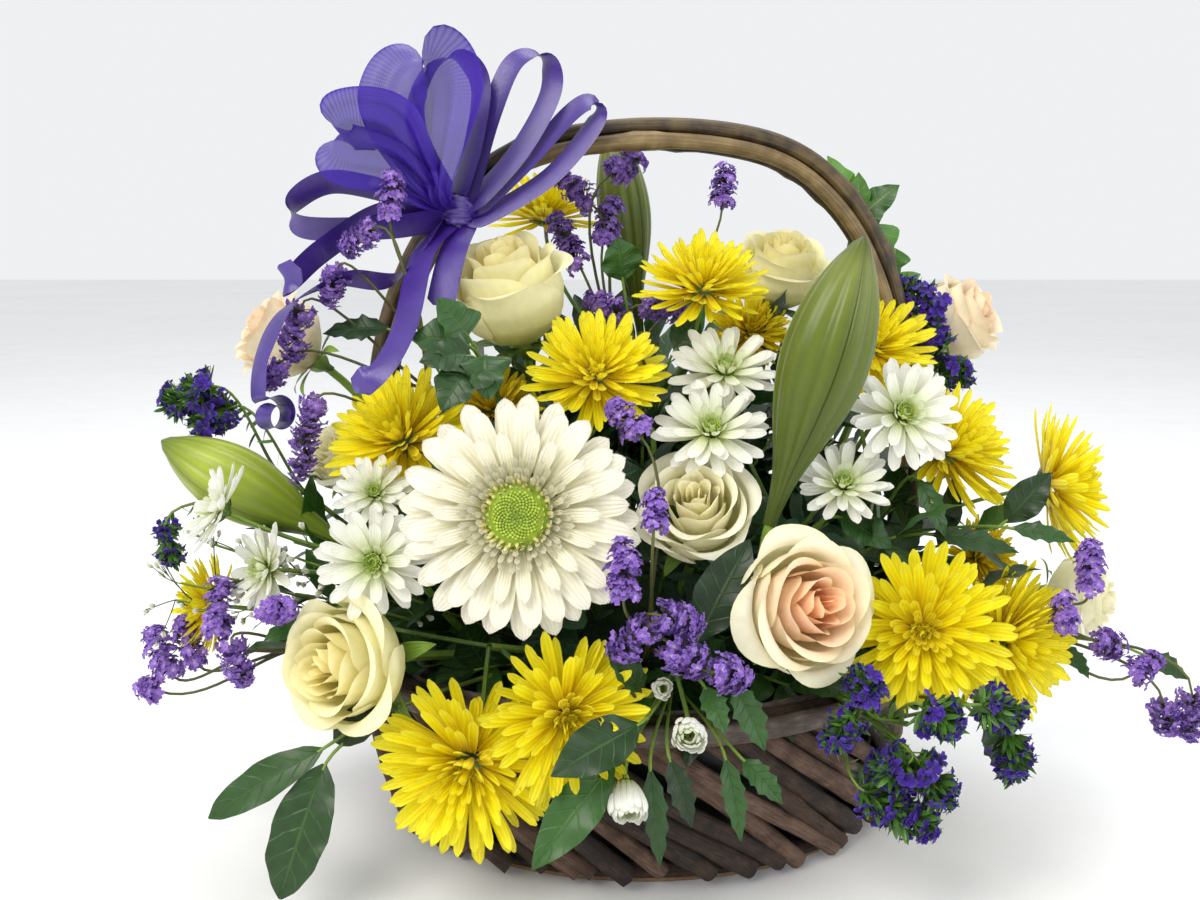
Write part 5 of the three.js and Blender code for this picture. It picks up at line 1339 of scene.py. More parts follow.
@dataclass
class Gerbera(Bloom):
    """Gerbera: two rows of long grooved rays, a short inner row, a ring of anthers and a lime disc."""

    def build(self, palette: Palette) -> None:
        """Makes the rays, the disc and the calyx."""
        rng = np.random.default_rng(5)
        scale = self.size / 102
        skin = Skin()
        plan = [(25, 10.5, -2.4, 0.0, (39.5, 10.4, 0.03, 0.02, -0.1, 0.28), 0.02, (12, 9)),
                (24, 10.5, -0.6, 0.05, (36.5, 9.8, 0.13, 0.02, -0.1, 0.3), 0.02, (12, 9)),
                (18, 11.0, 1.0, 0.2, (25, 6.4, 0.26, 0.05, 0.0, 0.45), 0.03, (9, 7))]
        rays = [(n, r, h, layer, Blade(Outline.RAY, *shape, groove=0.05, notch=notch, rows=fine[0],
                                       columns=fine[1])) for n, r, h, layer, shape, notch, fine in plan]
        rows_of(skin, self, scale, rays, rng, 0.045)
        skin.piece("gerbera_rays", palette.gerbera, "white_petal", ["gerbera_petals"])

        skin = Skin()
        plan = [(34, 15.5, 2.4, 10, 0.38), (32, 14.0, 3.4, 8.5, 0.62), (28, 12.6, 4.0, 6.5, 0.86)]
        rows = [(n, r, h, 0.9, Blade(Outline.SPOON, length, 2.6, rise, 0.2, 0.2, 0.7, rows=5, columns=3))
                for n, r, h, length, rise in plan]
        rows_of(skin, self, scale, rows, rng, 0.12)
        skin.piece("gerbera_short_florets", palette.gerbera, "white_petal", ["gerbera_disc"])

        skin = Skin()
        rows = [(n, r, h, 0.0, Blade(Outline.NEEDLE, length, 1.5, 1.1, 0.2, rows=4, columns=3))
                for n, r, h, length in ((34, 13.2, 3.8, 6.2), (32, 12.0, 4.3, 5.4), (28, 10.6, 4.6, 4.0))]
        rows_of(skin, self, scale, rows, rng, 0.22)
        skin.piece("gerbera_anthers", palette.anther, "flower_disc", ["gerbera_disc"])

        skin = Skin()
        dome(skin, self, 9.4 * scale, 1.6 * scale, 190, 0.72 * scale, 5.6 * scale, (1.0, 0.0), rng)
        wide = np.array([14.6, 14.2, 12, 8, 4, 0.1])
        high = np.array([0.5, 3.2, 5.0, 6.0, 6.8, 7.0])
        skin.grid(turned(self.at, self.axis, 28, wide * scale, high * scale), closed=True, layer=0.7)
        skin.piece("gerbera_heart", palette.lime, "flower_disc", ["gerbera_disc"])
        calyx(self, palette, 11 * scale, 8 * scale, 26, "gerbera", "gerbera_petals", rng)


@dataclass
class WhiteMum(Bloom):
    """Small white chrysanthemum: spoon-shaped petals in rows round a lime disc, or a closed bud."""

    bud: bool = False

    def build(self, palette: Palette, name: str, seed: int) -> None:
        """Makes the petals, the disc and the calyx."""
        rng = np.random.default_rng(seed)
        scale = self.size / 48 * (1.25 if self.bud else 1.0)
        skin = Skin()
        kind = Flower.BUD if self.bud else Flower.WHITE
        rows_of(skin, self, scale * (1.05 if self.bud else 1.0), mum_rows(kind), rng,
                0.07 if self.bud else 0.09)
        skin.piece(name + "_petals", palette.white, "white_petal", [self.node])
        skin = Skin()
        if self.bud:
            dome(skin, self, 4.2 * scale, 1.0 * scale, 22, 0.9 * scale, 7 * scale, (0.9, 0.3), rng)
        else:
            dome(skin, self, 3.4 * scale, 1.4 * scale, 46, 0.62 * scale, 4.6 * scale, (0.9, 0.1), rng)
        skin.piece(name + "_disc", palette.lime, "white_petal", [self.node])
        calyx(self, palette, 5.2 * scale, 4.4 * scale, 12, name, self.node, rng)


@dataclass
class Rose(Bloom):
    """Rose: overlapping rolled petals in layers, open at the outside and tight at the heart.

    Attributes:
        finish: Name of its finish in the palette.
        open: How far its outer petals have opened, from 0 to 1.
        stretch: Its height, as a share of the usual.
    """

    finish: str = "cream"
    open: float = 0.5
    stretch: float = 1.0

    def petal(self, skin: Skin, rng: Draws, turn: float, radius: float, top: float, span: float,
              flare: float, layer: float, rows: int, columns: int) -> None:
        """Adds one petal that wraps round the axis.

        Args:
            skin: Where it is added.
            rng: The draws for its unevenness.
            turn: Where its middle stands round the axis, in radians.
            radius: Its distance from the axis at its widest, as a share of the head's radius.
            top: Height of its rim, as a share of the head's radius.
            span: How far it reaches round the axis, in radians.
            flare: How far its rim rolls outwards, as a share of the head's radius.
            layer: Its layer mark.
            rows: Points up it.
            columns: Points round it.
        """
        half = self.size / 2
        u, v = frame_of(self.axis)
        along = np.linspace(0, 1, rows) ** 0.9
        across = np.linspace(-1, 1, columns)
        bottom = -0.78 * self.stretch
        peak = 0.05 * np.cos(across * math.pi / 2)
        reach = 1 - 0.2 * np.abs(across) ** 2.4 * (1 + 0.4 * (span > 2)) + peak - 0.05
        share = along[:, None] * reach[None]
        swell = np.interp(share, [0, 0.12, 0.35, 0.6, 0.82, 1.0], [0.2, 0.55, 0.9, 1.0, 0.96, 0.93])
        rise = bottom + (top * self.stretch - bottom) * share
        roll = np.clip((share - 0.76) / 0.24, 0, 1)
        ruffle = 0.03 * np.sin(across[None] * rng.uniform(3, 6) + rng.uniform(0, 6)) * share**3
        far = radius * swell + flare * roll**1.7 + ruffle
        drop = 0.62 * flare * roll**3.2 + 0.02 * np.sin(across[None] * 5 + rng.uniform(0, 6)) * roll
        turn_share = np.interp(along, [0, 0.25, 0.6, 1.0], [0.5, 0.85, 1.0, 0.94])[:, None]
        angle = turn + across[None] * span / 2 * turn_share
        far = far * (1 + 0.055 * across[None] * (0.4 + share))
        points = (vec(self.at) + half * (
            u * (far * np.cos(angle))[..., None] + v * (far * np.sin(angle))[..., None]
            + self.axis * (rise - drop)[..., None]))
        skin.grid(points, along=along, across=across, tone=rng.random(), layer=layer)

    def build(self, palette: Palette, seed: int) -> None:
        """Makes the petals, the sepals and the hip."""
        rng = np.random.default_rng(seed)
        skin = Skin()
        wide = self.open
        plan = [
            (4, 0.86 + 0.06 * wide, 0.06 + 0.4 * (1 - wide), 2.25, 0.2 + 0.26 * wide, 0.0, 17, 21),
            (3, 0.75 + 0.03 * wide, 0.3 + 0.32 * (1 - wide), 2.6, 0.13 + 0.16 * wide, 0.15, 16, 21),
            (3, 0.61, 0.5 + 0.18 * (1 - wide), 2.6, 0.1 + 0.12 * wide, 0.35, 15, 19),
            (3, 0.47, 0.62, 2.6, 0.07 + 0.06 * wide, 0.55, 14, 17),
            (3, 0.35, 0.66, 2.6, 0.05, 0.7, 13, 15),
            (3, 0.24, 0.68, 2.7, 0.04, 0.85, 12, 13),
            (2, 0.15, 0.68, 3.5, 0.03, 0.95, 11, 13),
            (2, 0.07, 0.66, 3.8, 0.02, 1.0, 10, 13),
        ]
        turn = rng.uniform(0, 6)
        for count, radius, top, span, flare, layer, rows, columns in plan:
            for i in range(count):
                place = turn + i / count * 2 * math.pi + rng.normal(0, 0.06)
                self.petal(skin, rng, place, radius * rng.uniform(0.97, 1.03),
                           top + rng.normal(0, 0.025), span, flare * rng.uniform(0.7, 1.25), layer, rows,
                           columns)
            turn += 0.62 + rng.uniform(0, 0.3)
        slot = "peach_petal" if self.finish in ("peach", "blush") else "cream_petal"
        skin.piece(self.node + "_petals", getattr(palette, self.finish), slot, [self.node])

        skin = Skin()
        half = self.size / 2
        at = vec(self.at)
        low = -0.78 * self.stretch * half
        hip = turned(at, self.axis, 12, np.array([0.09, 0.1, 0.2, 0.24, 0.2]) * half,
                     low + np.array([-10, -7, -4, -1, 1.5]))
        skin.grid(hip, closed=True)
        sepal = Blade(Outline.LEAF, half * 0.95, half * 0.3, 0.25, -0.5, -0.6, 0.35, rows=9, columns=5)
        for i in range(5):
            out = self.round(i / 5 * 2 * math.pi + 0.4)
            root = at + self.axis * (low - 0.5) + out * half * 0.16
            grow(skin, sepal, root, out, self.axis, rng.random(), 0.0, rng.uniform(0, 6),
                 rng.uniform(0.8, 1.1))
        skin.piece(self.node + "_sepals", palette.stem, "stem_green", [self.node])


@dataclass
class LilyBud:
    """Closed lily bud: a long spindle of three overlapping ribbed tepals."""

    node: str
    foot: Point
    tip: Point
    width: float
    finish: str = "bud"
    turn: float = 0.0

    def build(self, palette: Palette) -> None:
        """Makes the bud."""
        start, end = vec(self.foot), vec(self.tip)
        axis = unit(end - start)
        length = norm(end - start)
        u, v = frame_of(axis)
        rows, columns = 36, 61
        share = np.linspace(0, 1, rows)
        wide = np.interp(share, [0, 0.04, 0.12, 0.22, 0.36, 0.5, 0.63, 0.76, 0.87, 0.95, 1],
                         [0.14, 0.17, 0.22, 0.38, 0.72, 0.96, 1.0, 0.86, 0.6, 0.32, 0.05])
        wide = np.convolve(np.pad(wide, 2, mode="edge"), np.ones(5) / 5, "valid")
        wide[-1] = 0.03
        skin = Skin()
        for k in range(3):
            middle = self.turn + k * 2 * math.pi / 3
            spread = np.linspace(-1, 1, columns)
            angle = middle + spread * 1.12
            seam = 0.085 * np.exp(-(((np.abs(spread) - 0.44) / 0.13) ** 2))
            ridge = 0.05 * np.exp(-(spread / 0.2) ** 2) - seam
            fine = 0.004 * np.cos(spread * 30)
            edge = -0.24 * np.clip((np.abs(spread) - 0.88) / 0.12, 0, 1) ** 1.4
            swell = np.sin(np.clip(share * 1.05, 0, 1) * math.pi)[:, None] ** 0.6
            radius = self.width / 2 * wide[:, None] * (1 + (ridge + fine)[None] * swell + edge[None] * 0.7
                                                       + 0.03 * (k == 0))
            points = (start + axis * (share * length)[:, None, None]
                      + u * (radius * np.cos(angle))[..., None] + v * (radius * np.sin(angle))[..., None])
            skin.grid(points, along=share, across=spread, tone=0.9 - 0.4 * k, layer=0.0)
        skin.piece(self.node + "_tepals", getattr(palette, self.finish), "bud_green", [self.node])


# -------------------------------------------------------------------- sprays and leaves


@dataclass
class Spray:
    """Branched spray of small flowers.

    Attributes:
        node: The CAD node.
        aim: Where its stem leaves the foam for.
        fork: Where its branches part.
        spikes: For each spike its first point, last point and width.
        statice: Whether it bears statice funnels rather than limonium florets.
    """

    node: str
    aim: Point
    fork: Point
    spikes: Sequence[tuple[Point, Point, float]]
    statice: bool = False

    def build(self, palette: Palette, basket: Basket, seed: int) -> None:
        """Makes the stem, the branches and the florets."""
        rng = np.random.default_rng(seed)
        stems, heads, greens = Skin(), Skin(), Skin()
        trunk = basket.stem(self.aim, self.fork, np.subtract(self.fork, self.aim), 16)
        tube(stems, trunk, np.linspace(1.5, 1.2, 16), 7, 0.5, 0.0, 0.03, rng)
        for number, (first, last, width) in enumerate(self.spikes):
            ends = nearest_first(self.fork, first, last)
            back = trunk[max(2, 15 - 2 * ((number + 1) // 2))]
            way = unit(ends[1] - ends[0])
            stalk = stalk_line(back, ends, 0.3, 0.3, 0.0, 12)
            tube(stems, stalk, np.linspace(0.9, 0.6, 12), 6, 0.4, 0.0)
            spike = np.linspace(ends[0], ends[1], 7) + rng.normal(0, 0.4, (7, 3))
            tube(stems, spike, 0.45, 5, 0.3, 0.0)
            self.florets(heads, greens, stems, ends[0], ends[1], width, rng)
            for spot in np.vstack([stalk[4:], spike]) if self.statice else ():
                out = unit(np.cross(way, rng.normal(0, 1, 3)))
                bract = Blade(Outline.NEEDLE, rng.uniform(6, 10), 2.2, 0.9, -0.3, cup=0.4, rows=5,
                              columns=3)
                grow(greens, bract, spot, out, way, rng.random(), 0.0)
        bearer = palette.stem if self.statice else palette.twiglet
        slot = "violet_floret" if self.statice else "lilac_floret"
        stems.piece(self.node + "_stems", bearer, slot, [self.node])
        finish = palette.violet if self.statice else palette.lilac
        heads.piece(self.node + "_florets", finish, slot, [self.node])
        if self.statice:
            greens.piece(self.node + "_calyces", palette.bright, slot, [self.node])

    def florets(self, heads: Skin, greens: Skin, stems: Skin, first: Array, last: Array, width: float,
                rng: Draws) -> None:
        """Adds the florets of one spike, with their twiglets and cups."""
        way = unit(last - first)
        length = norm(last - first)
        count = int((length + width) * (1.15 if self.statice else 2.4))
        size = 5.2 if self.statice else 3.1
        wide = size * (0.62 if self.statice else 0.95)
        for i in range(count):
            t = rng.uniform(-0.08, 1.08)
            out = around(way, i * STEM_TURN + rng.uniform(-0.4, 0.4))
            far = width * 0.5 * rng.uniform(0.35, 1.0) * (1 - 0.35 * max(t - 0.7, 0) / 0.3)
            foot = first + way * length * float(np.clip(t - 0.18, 0, 1))
            place = first + way * length * t + out * far
            point = unit(place - foot + way * 1.5)
            twig = bezier(foot, foot + way * 1.5, place - point * 1.5, place, 4)
            tube(stems, twig, 0.28, 3, 0.4, 0.0)
            scale = rng.uniform(0.75, 1.15)
            petals = 5
            if self.statice:
                petals = 0 if i % 4 == 0 else 6
            rise = rng.uniform(0.6, 1.3) if self.statice else rng.uniform(0.55, 1.1)
            blade = Blade(Outline.FLARE, size, wide, rise, -0.7, -0.4, 0.7, 0.22, 3.0,
                          rows=4 if self.statice else 3, columns=5)
            for k in range(petals):
                side = around(point, k / petals * 2 * math.pi + rng.uniform(-0.2, 0.2))
                grow(heads, blade, place, side, point, rng.random(), rng.uniform(0, 1), rng.uniform(0, 6),
                     scale)
            if self.statice:
                cup = Blade(Outline.NEEDLE, 8.6, 2.3, 1.0, 0.1, cup=0.5, rows=4, columns=3)
                for k in range(5):
                    grow(greens, cup, place - point * 4.2, around(point, k / 5 * 2 * math.pi), point,
                         rng.random(), 0.0, 0.0, rng.uniform(0.7, 1.1))


@dataclass
class Leaf:
    """One leaf: where its blade starts and ends, its width and the way that its upper side faces."""

    base: Point
    tip: Point
    width: float
    up: Point = (0.1, -0.75, 0.6)


def leaf_blade(skin: Skin, leaf: Leaf, outline: Outline, rng: Draws, droop: float = 0.5,
               fold: float = 0.16, wave: float = 0.06, shrink: float = 1.0, rows: int = 16,
               columns: int = 11) -> None:
    """Adds a folded, wavy leaf blade that arches from its base to its tip.

    Args:
        skin: Where it is added.
        leaf: Its plan.
        outline: How its width runs.
        rng: The draws for its unevenness.
        droop: How much it arches, in radians.
        fold: Height of its fold, as a share of its width.
        wave: Height of its edge's waves, as a share of its width.
        shrink: Its length, as a share of the plan's.
        rows: Points along it.
        columns: Points across it.
    """
    base, tip = vec(leaf.base), vec(leaf.tip)
    run = tip - base
    way = unit(run)
    up = vec(leaf.up)
    up = unit(up - way * np.dot(up, way))
    blade = Blade(outline, norm(run) * 1.03 * shrink, leaf.width, droop / 2, -droop, 0.0,
                  0.0, wave, rng.uniform(2, 3.2), fold, rows=rows, columns=columns)
    grow(skin, blade, base, way, up, rng.random(), 0.0, rng.uniform(0, 6))


@dataclass
class Foliage:
    """Leafy stems: those of the model, and the finer greenery between the flowers.

    Attributes:
        basket: The basket they stand in.
        palette: The finishes.
    """

    basket: Basket
    palette: Palette

    def sprig(self, node: str, aim: Point, fork: Point, leaves: Sequence[Leaf], outline: Outline,
              material: Material, seed: int, slot: str = "leaf_green", wave: float = 0.06) -> None:
        """Makes a stem from the foam with its leaves on stalks."""
        rng = np.random.default_rng(seed)
        stems, blades = Skin(), Skin()
        trunk = self.basket.stem(aim, fork, np.subtract(fork, aim), 18)
        tube(stems, trunk, np.linspace(1.5, 1.0, 18), 7, 0.5, 0.0, 0.03, rng)
        for i, leaf in enumerate(leaves):
            ends = nearest_first(fork, leaf.base, leaf.tip)
            stalk = stalk_line(trunk[max(3, 17 - 2 * ((i + 1) // 2))], ends, 0.35, 0.25, 3.0, 10)
            tube(stems, stalk, np.linspace(0.95, 0.7, 10), 6, 0.6, 0.0)
            leaf_blade(blades, Leaf(*ends, leaf.width, leaf.up), outline, rng, 0.5, 0.15, wave, rows=22,
                       columns=13)
        stems.piece(node + "_stems", self.palette.stem, slot, [node])
        blades.piece(node + "_leaves", material, slot, [node])

    def back(self, node: str, first: float, last: float, seed: int) -> None:
        """Makes the leafy back of the arrangement: leafy branches over a rounded outline."""
        rng = np.random.default_rng(seed)
        stems, blades = Skin(), Skin()
        for degrees in (-6, 8, 22, 36, 50, 62):
            rise = math.radians(degrees)
            count = 7 if degrees < 40 else 5
            for i in range(count):
                turn = math.radians(first + (last - first) * (i + (0.5 if degrees % 4 else 0.1)) / count)
                flat = math.cos(rise)
                out = np.array([math.cos(turn) * flat, math.sin(turn) * flat, math.sin(rise)])
                base = out * [114, 76, 118] + [0, 0, 98]
                way = unit([out[0], out[1], 0.3 + 0.5 * math.sin(rise)])
                mouth, leaving = self.basket.socket(base)
                reach = norm(base - mouth)
                line = bezier(mouth - leaving * 12, mouth + leaving * reach * 0.4, base - way * reach * 0.4,
                              base + way * 26, 18)
                tube(stems, line, np.linspace(1.1, 0.6, 18), 5, 0.5, 0.0)
                outline = Outline.OVAL if i % 2 else Outline.LEAF
                self.along(blades, line, 0.5, 7, rng, (30, 50), (15, 24), outline)
        stems.piece(node + "_stems", self.palette.stem, "leaf_green", [node])
        blades.piece(node + "_leaves", self.palette.leaf, "leaf_green", [node])

    def along(self, blades: Skin, line: Array, start: float, count: int, rng: Draws,
              lengths: tuple[float, float], widths: tuple[float, float], outline: Outline) -> None:
        """Adds leaves along the outer part of a stem, in turn on each side."""
        for k in range(count):
            place = int((start + (1 - start) * k / max(count - 1, 1)) * (len(line) - 1))
            way = unit(line[min(place + 1, len(line) - 1)] - line[max(place - 1, 0)])
            side = around(way, k * STEM_TURN + rng.uniform(-0.5, 0.5)) * (0.15 if k == count - 1 else 1)
            out = unit(way * 0.75 + side)
            length = rng.uniform(*lengths)
            up = unit(np.array([0, 0, 1.0]) + way * 0.6 + rng.normal(0, 0.15, 3))
            leaf = Leaf(line[place], line[place] + out * length, rng.uniform(*widths), up)
            leaf_blade(blades, leaf, outline, rng, 0.6, 0.14, 0.07, rows=10, columns=7)

    def filler(self, name: str, seed: int, ways: Sequence[tuple[float, float, float]],
               material: Material, lengths: tuple[float, float], widths: tuple[float, float],
               count: int) -> None:
        """Makes leafy branches that close the spaces between the flowers.

        Args:
            name: The piece's name.
            seed: The seed of its draws.
            ways: For each branch, the azimuth, elevation and reach from the middle of the foam's dome.
            material: The leaves' finish.
            lengths: Shortest and longest leaf.
            widths: Narrowest and widest leaf.
            count: Leaves on each branch.
        """
        rng = np.random.default_rng(seed)
        stems, blades = Skin(), Skin()
        for azimuth, elevation, reach in ways:
            out = facing(azimuth, elevation)
            end = out * reach + [0, 0, 84]
            line = self.basket.stem(end, end, out, 18, 12.0)
            tube(stems, line, np.linspace(1.1, 0.6, 18), 5, 0.5, 0.0)
            outline = Outline.LEAF if reach > 95 else Outline.OVAL
            self.along(blades, line, 0.35, count, rng, lengths, widths, outline)
        nodes = ["foliage_back_left", "foliage_back_right"]
        stems.piece(name + "_stems", self.palette.stem, "leaf_green", nodes)
        blades.piece(name + "_leaves", material, "leaf_green", nodes)


def baby_breath(palette: Palette, basket: Basket) -> None:
    """Makes the airy sprays of tiny white buds at the left, on thin forked stems."""
    rng = np.random.default_rng(77)
    stems, buds = Skin(), Skin()
    blade = Blade(Outline.SPOON, 3.4, 2.9, 1.2, 0.5, 0.5, 0.7, rows=4, columns=3)
    sixth = 1.047
    for target in ((-204, -62, 152), (-210, -66, 132), (-218, -58, 122), (-194, -72, 138), (-152, -88, 150)):
        way = unit(target - basket.socket(target)[0])
        line = basket.stem(target, target, way, 16, 8.0)
        tube(stems, line, 0.6, 5, 0.7, 0.0)
        for _ in range(9):
            start = line[int(rng.integers(9, 16))]
            tip = start + unit(way + rng.normal(0, 0.8, 3)) * rng.uniform(10, 26)
            twig = bezier(start, start + (tip - start) * 0.4 + rng.normal(0, 1, 3), tip - [0, 0, 1], tip, 6)
            tube(stems, twig, 0.28, 4, 0.7, 0.0)
            for _ in range(2):
                spot = twig[int(rng.integers(3, 6))] + rng.normal(0, 1.4, 3)
                tube(stems, np.linspace(twig[3], spot, 3), 0.22, 3, 0.7, 0.0)
                out = unit(spot - start)
                for k in range(6):
                    grow(buds, blade, spot, around(out, k * sixth), out, rng.random(), 0.0, 0.0,
                         rng.uniform(0.7, 1.2))
    node = ["white_mum_spray_left"]
    stems.piece("baby_breath_stems", palette.stem, "stem_green", node)
    buds.piece("baby_breath_buds", palette.white_bud, "white_petal", node)


@dataclass
class Stems:
    """The smooth stems that run from the foam to the blooms."""

    palette: Palette
    basket: Basket

    def single(self, node: str, aim: Point, end: Point, arriving: Point, radius: float, slot: str) -> None:
        """Makes one stem with a slight taper."""
        line = self.basket.stem(aim, end, arriving, 22, 20.0, 0.38, 0.38)
        skin = Skin()
        tube(skin, line, np.linspace(radius, radius * 0.92, 22), 10, 0.4, 0.0, 0.012,
             np.random.default_rng(3))
        skin.piece(node + "_stalk", self.palette.stem, slot, [node])

    def forked(self, node: str, aim: Point, fork: Point, blooms: Sequence[Bloom], leaves: Sequence[Leaf],
               back: float, seed: int) -> None:
        """Makes a branched stem that carries several blooms, with its leaves."""
        rng = np.random.default_rng(seed)
        skin, blades = Skin(), Skin()
        trunk = self.basket.stem(aim, fork, np.subtract(fork, aim), 18)
        tube(skin, trunk, np.linspace(2.0, 1.6, 18), 9, 0.4, 0.0, 0.02, rng)
        for i, bloom in enumerate(blooms):
            start = trunk[max(3, 17 - 2 * ((i + 1) // 2))]
            end = vec(bloom.at) - bloom.axis * bloom.size * back
            branch = stalk_line(start, (end, end + bloom.axis), 0.34, 0.34, 0.0, 18)
            tube(skin, branch, np.linspace(1.15, 1.0, 18), 8, 0.4, 0.0, 0.02, rng)
        for i, leaf in enumerate(leaves):
            ends = nearest_first(fork, leaf.base, leaf.tip)
            stalk = stalk_line(trunk[max(3, 17 - 2 * ((i + 2) // 2))], ends, 0.4, 0.2, 2.0, 10)
            tube(skin, stalk, 0.75, 6, 0.6, 0.0)
            outline = Outline.LEAF if leaf.width > 13 else Outline.SERRATE
            leaf_blade(blades, Leaf(*ends, leaf.width * 1.12, leaf.up), outline, rng, 0.5, 0.14, 0.07,
                       rows=24, columns=11)
        slot = "white_petal" if "white" in node else "stem_green"
        skin.piece(node + "_stalks", self.palette.stem, slot, [node])
        if leaves:
            blades.piece(node + "_leaves", self.palette.leaf, slot, [node])


# -------------------------------------------------------------------- the plan

# Of each rose: where it stands, what it faces, its size, finish, openness and stretch.
ROSES = [Rose(f"rose_{number}", *plan) for number, plan in enumerate((
    ((-63, -25, 265), (-30, 66), 60, "primrose", 0.25, 1.22),
    ((74, 35, 273), (15, 66), 50, "primrose", 0.35, 1.1),
    ((22, -88, 173), (-8, 38), 52, "cream", 0.5),
    ((-129, -112, 110), (-32, 12), 58, "primrose", 0.45),
    ((65, -120, 138), (22, 18), 60, "peach", 0.55),
    ((-184, 18, 238), (-70, 35), 50, "blush", 0.2, 1.1),
    ((170, 38, 246), (60, 30), 48, "blush", 0.2, 1.1),
    ((232, 6, 104), (60, 5), 46, "cream", 0.5),
    ((-146, -24, 184), (-40, 40), 36, "cream", 0.3)), 1)]

# Of each yellow chrysanthemum: where it stands, what it faces, its size and whether it takes the darker copy
# of the yellow, a painted shade for heads that sit in shadow.
YELLOW_MUMS = [YellowMum(f"yellow_mum_{number}", *plan) for number, plan in enumerate((
    ((-49, 50, 299), (0, 70), 56),
    ((28, -30, 264), (3, 62), 60),
    ((-22, -62, 226), (8, 42), 64),
    ((-108, -62, 197), (-28, 42), 68),
    ((-72, -28, 206), (-5, 55), 48, True),
    ((111, -12, 234), (18, 45), 64),
    ((147, -25, 186), (48, 35), 70),
    ((202, -15, 167), (72, 12), 74),
    ((119, -100, 122), (-12, 8), 74),
    ((165, -64, 105), (38, 2), 74),
    ((-75, -119, 70), (-8, -4), 78),
    ((-34, -134, 97), (12, 4), 70),
    ((-204, -45, 115), (-60, 12), 48),
    ((167, -18, 131), (40, 10), 44, True),
    ((56, 18, 240), (10, 40), 42, True)), 1)]

# Of each white spray: its fork, what it leaves the foam for, its blooms and its leaves. A bloom has its
# place, what it faces, its size and whether it is a bud.
WHITE_SPRAYS = {
    "white_mum_spray_right": ((66, -52, 150), (30, -32, 60), [
        ((37, -52, 228), (0, 52), 50),
        ((29, -76, 204), (-6, 46), 50),
        ((114, -70, 211), (6, 24), 50),
        ((87, -80, 181), (-2, 48), 42)], [
        Leaf((90, -58, 162), (112, -68, 150), 16), Leaf((50, -60, 176), (46, -76, 158), 15)]),
    "white_mum_spray_left": ((-108, -60, 140), (-60, -30, 60), [
        ((-115, -108, 154), (2, 12), 48),
        ((-167, -84, 144), (-48, 14), 42),
        ((-186, -84, 171), (-78, 30), 44),
        ((-117, -92, 180), (8, 30), 34)], [
        Leaf((-146, -92, 124), (-164, -104, 118), 12)]),
    "white_mum_spray_front": ((12, -112, 108), (10, -60, 60), [
        ((16, -142, 94), (-4, 8), 19, True),
        ((-10, -146, 72), (4, -35), 21, True),
        ((4, -134, 108), (10, 20), 12, True)], [
        Leaf((-4, -146, 98), (-38, -167, 86), 19), Leaf((-14, -144, 82), (-46, -164, 46), 18),
        Leaf((-2, -132, 104), (-18, -146, 130), 13), Leaf((0, -142, 78), (4, -152, 40), 10),
        Leaf((8, -138, 80), (17, -146, 54), 11), Leaf((22, -136, 110), (30, -146, 94), 11),
        Leaf((34, -134, 110), (46, -144, 86), 13), Leaf((31, -136, 80), (37, -146, 48), 10),
        Leaf((38, -134, 78), (54, -142, 62), 11), Leaf((20, -122, 124), (42, -112, 164), 20)]),
}

GERBERA = Gerbera("gerbera_petals", (-53, -126, 178), (-4, 16), 102)

LILIES = [
    (LilyBud("lily_bud_1", (53, -92, 166), (91, -86, 289), 38, "bud", 1.75), (40, -40, 60)),
    (LilyBud("lily_bud_2", (-141, -40, 144), (-225, -44, 195), 34, "bud_lime", 0.6), (-60, -14, 60)),
    (LilyBud("lily_bud_3", (2, 62, 238), (-14, 62, 349), 28, "bud", 0.2), (0, 30, 60)),
]

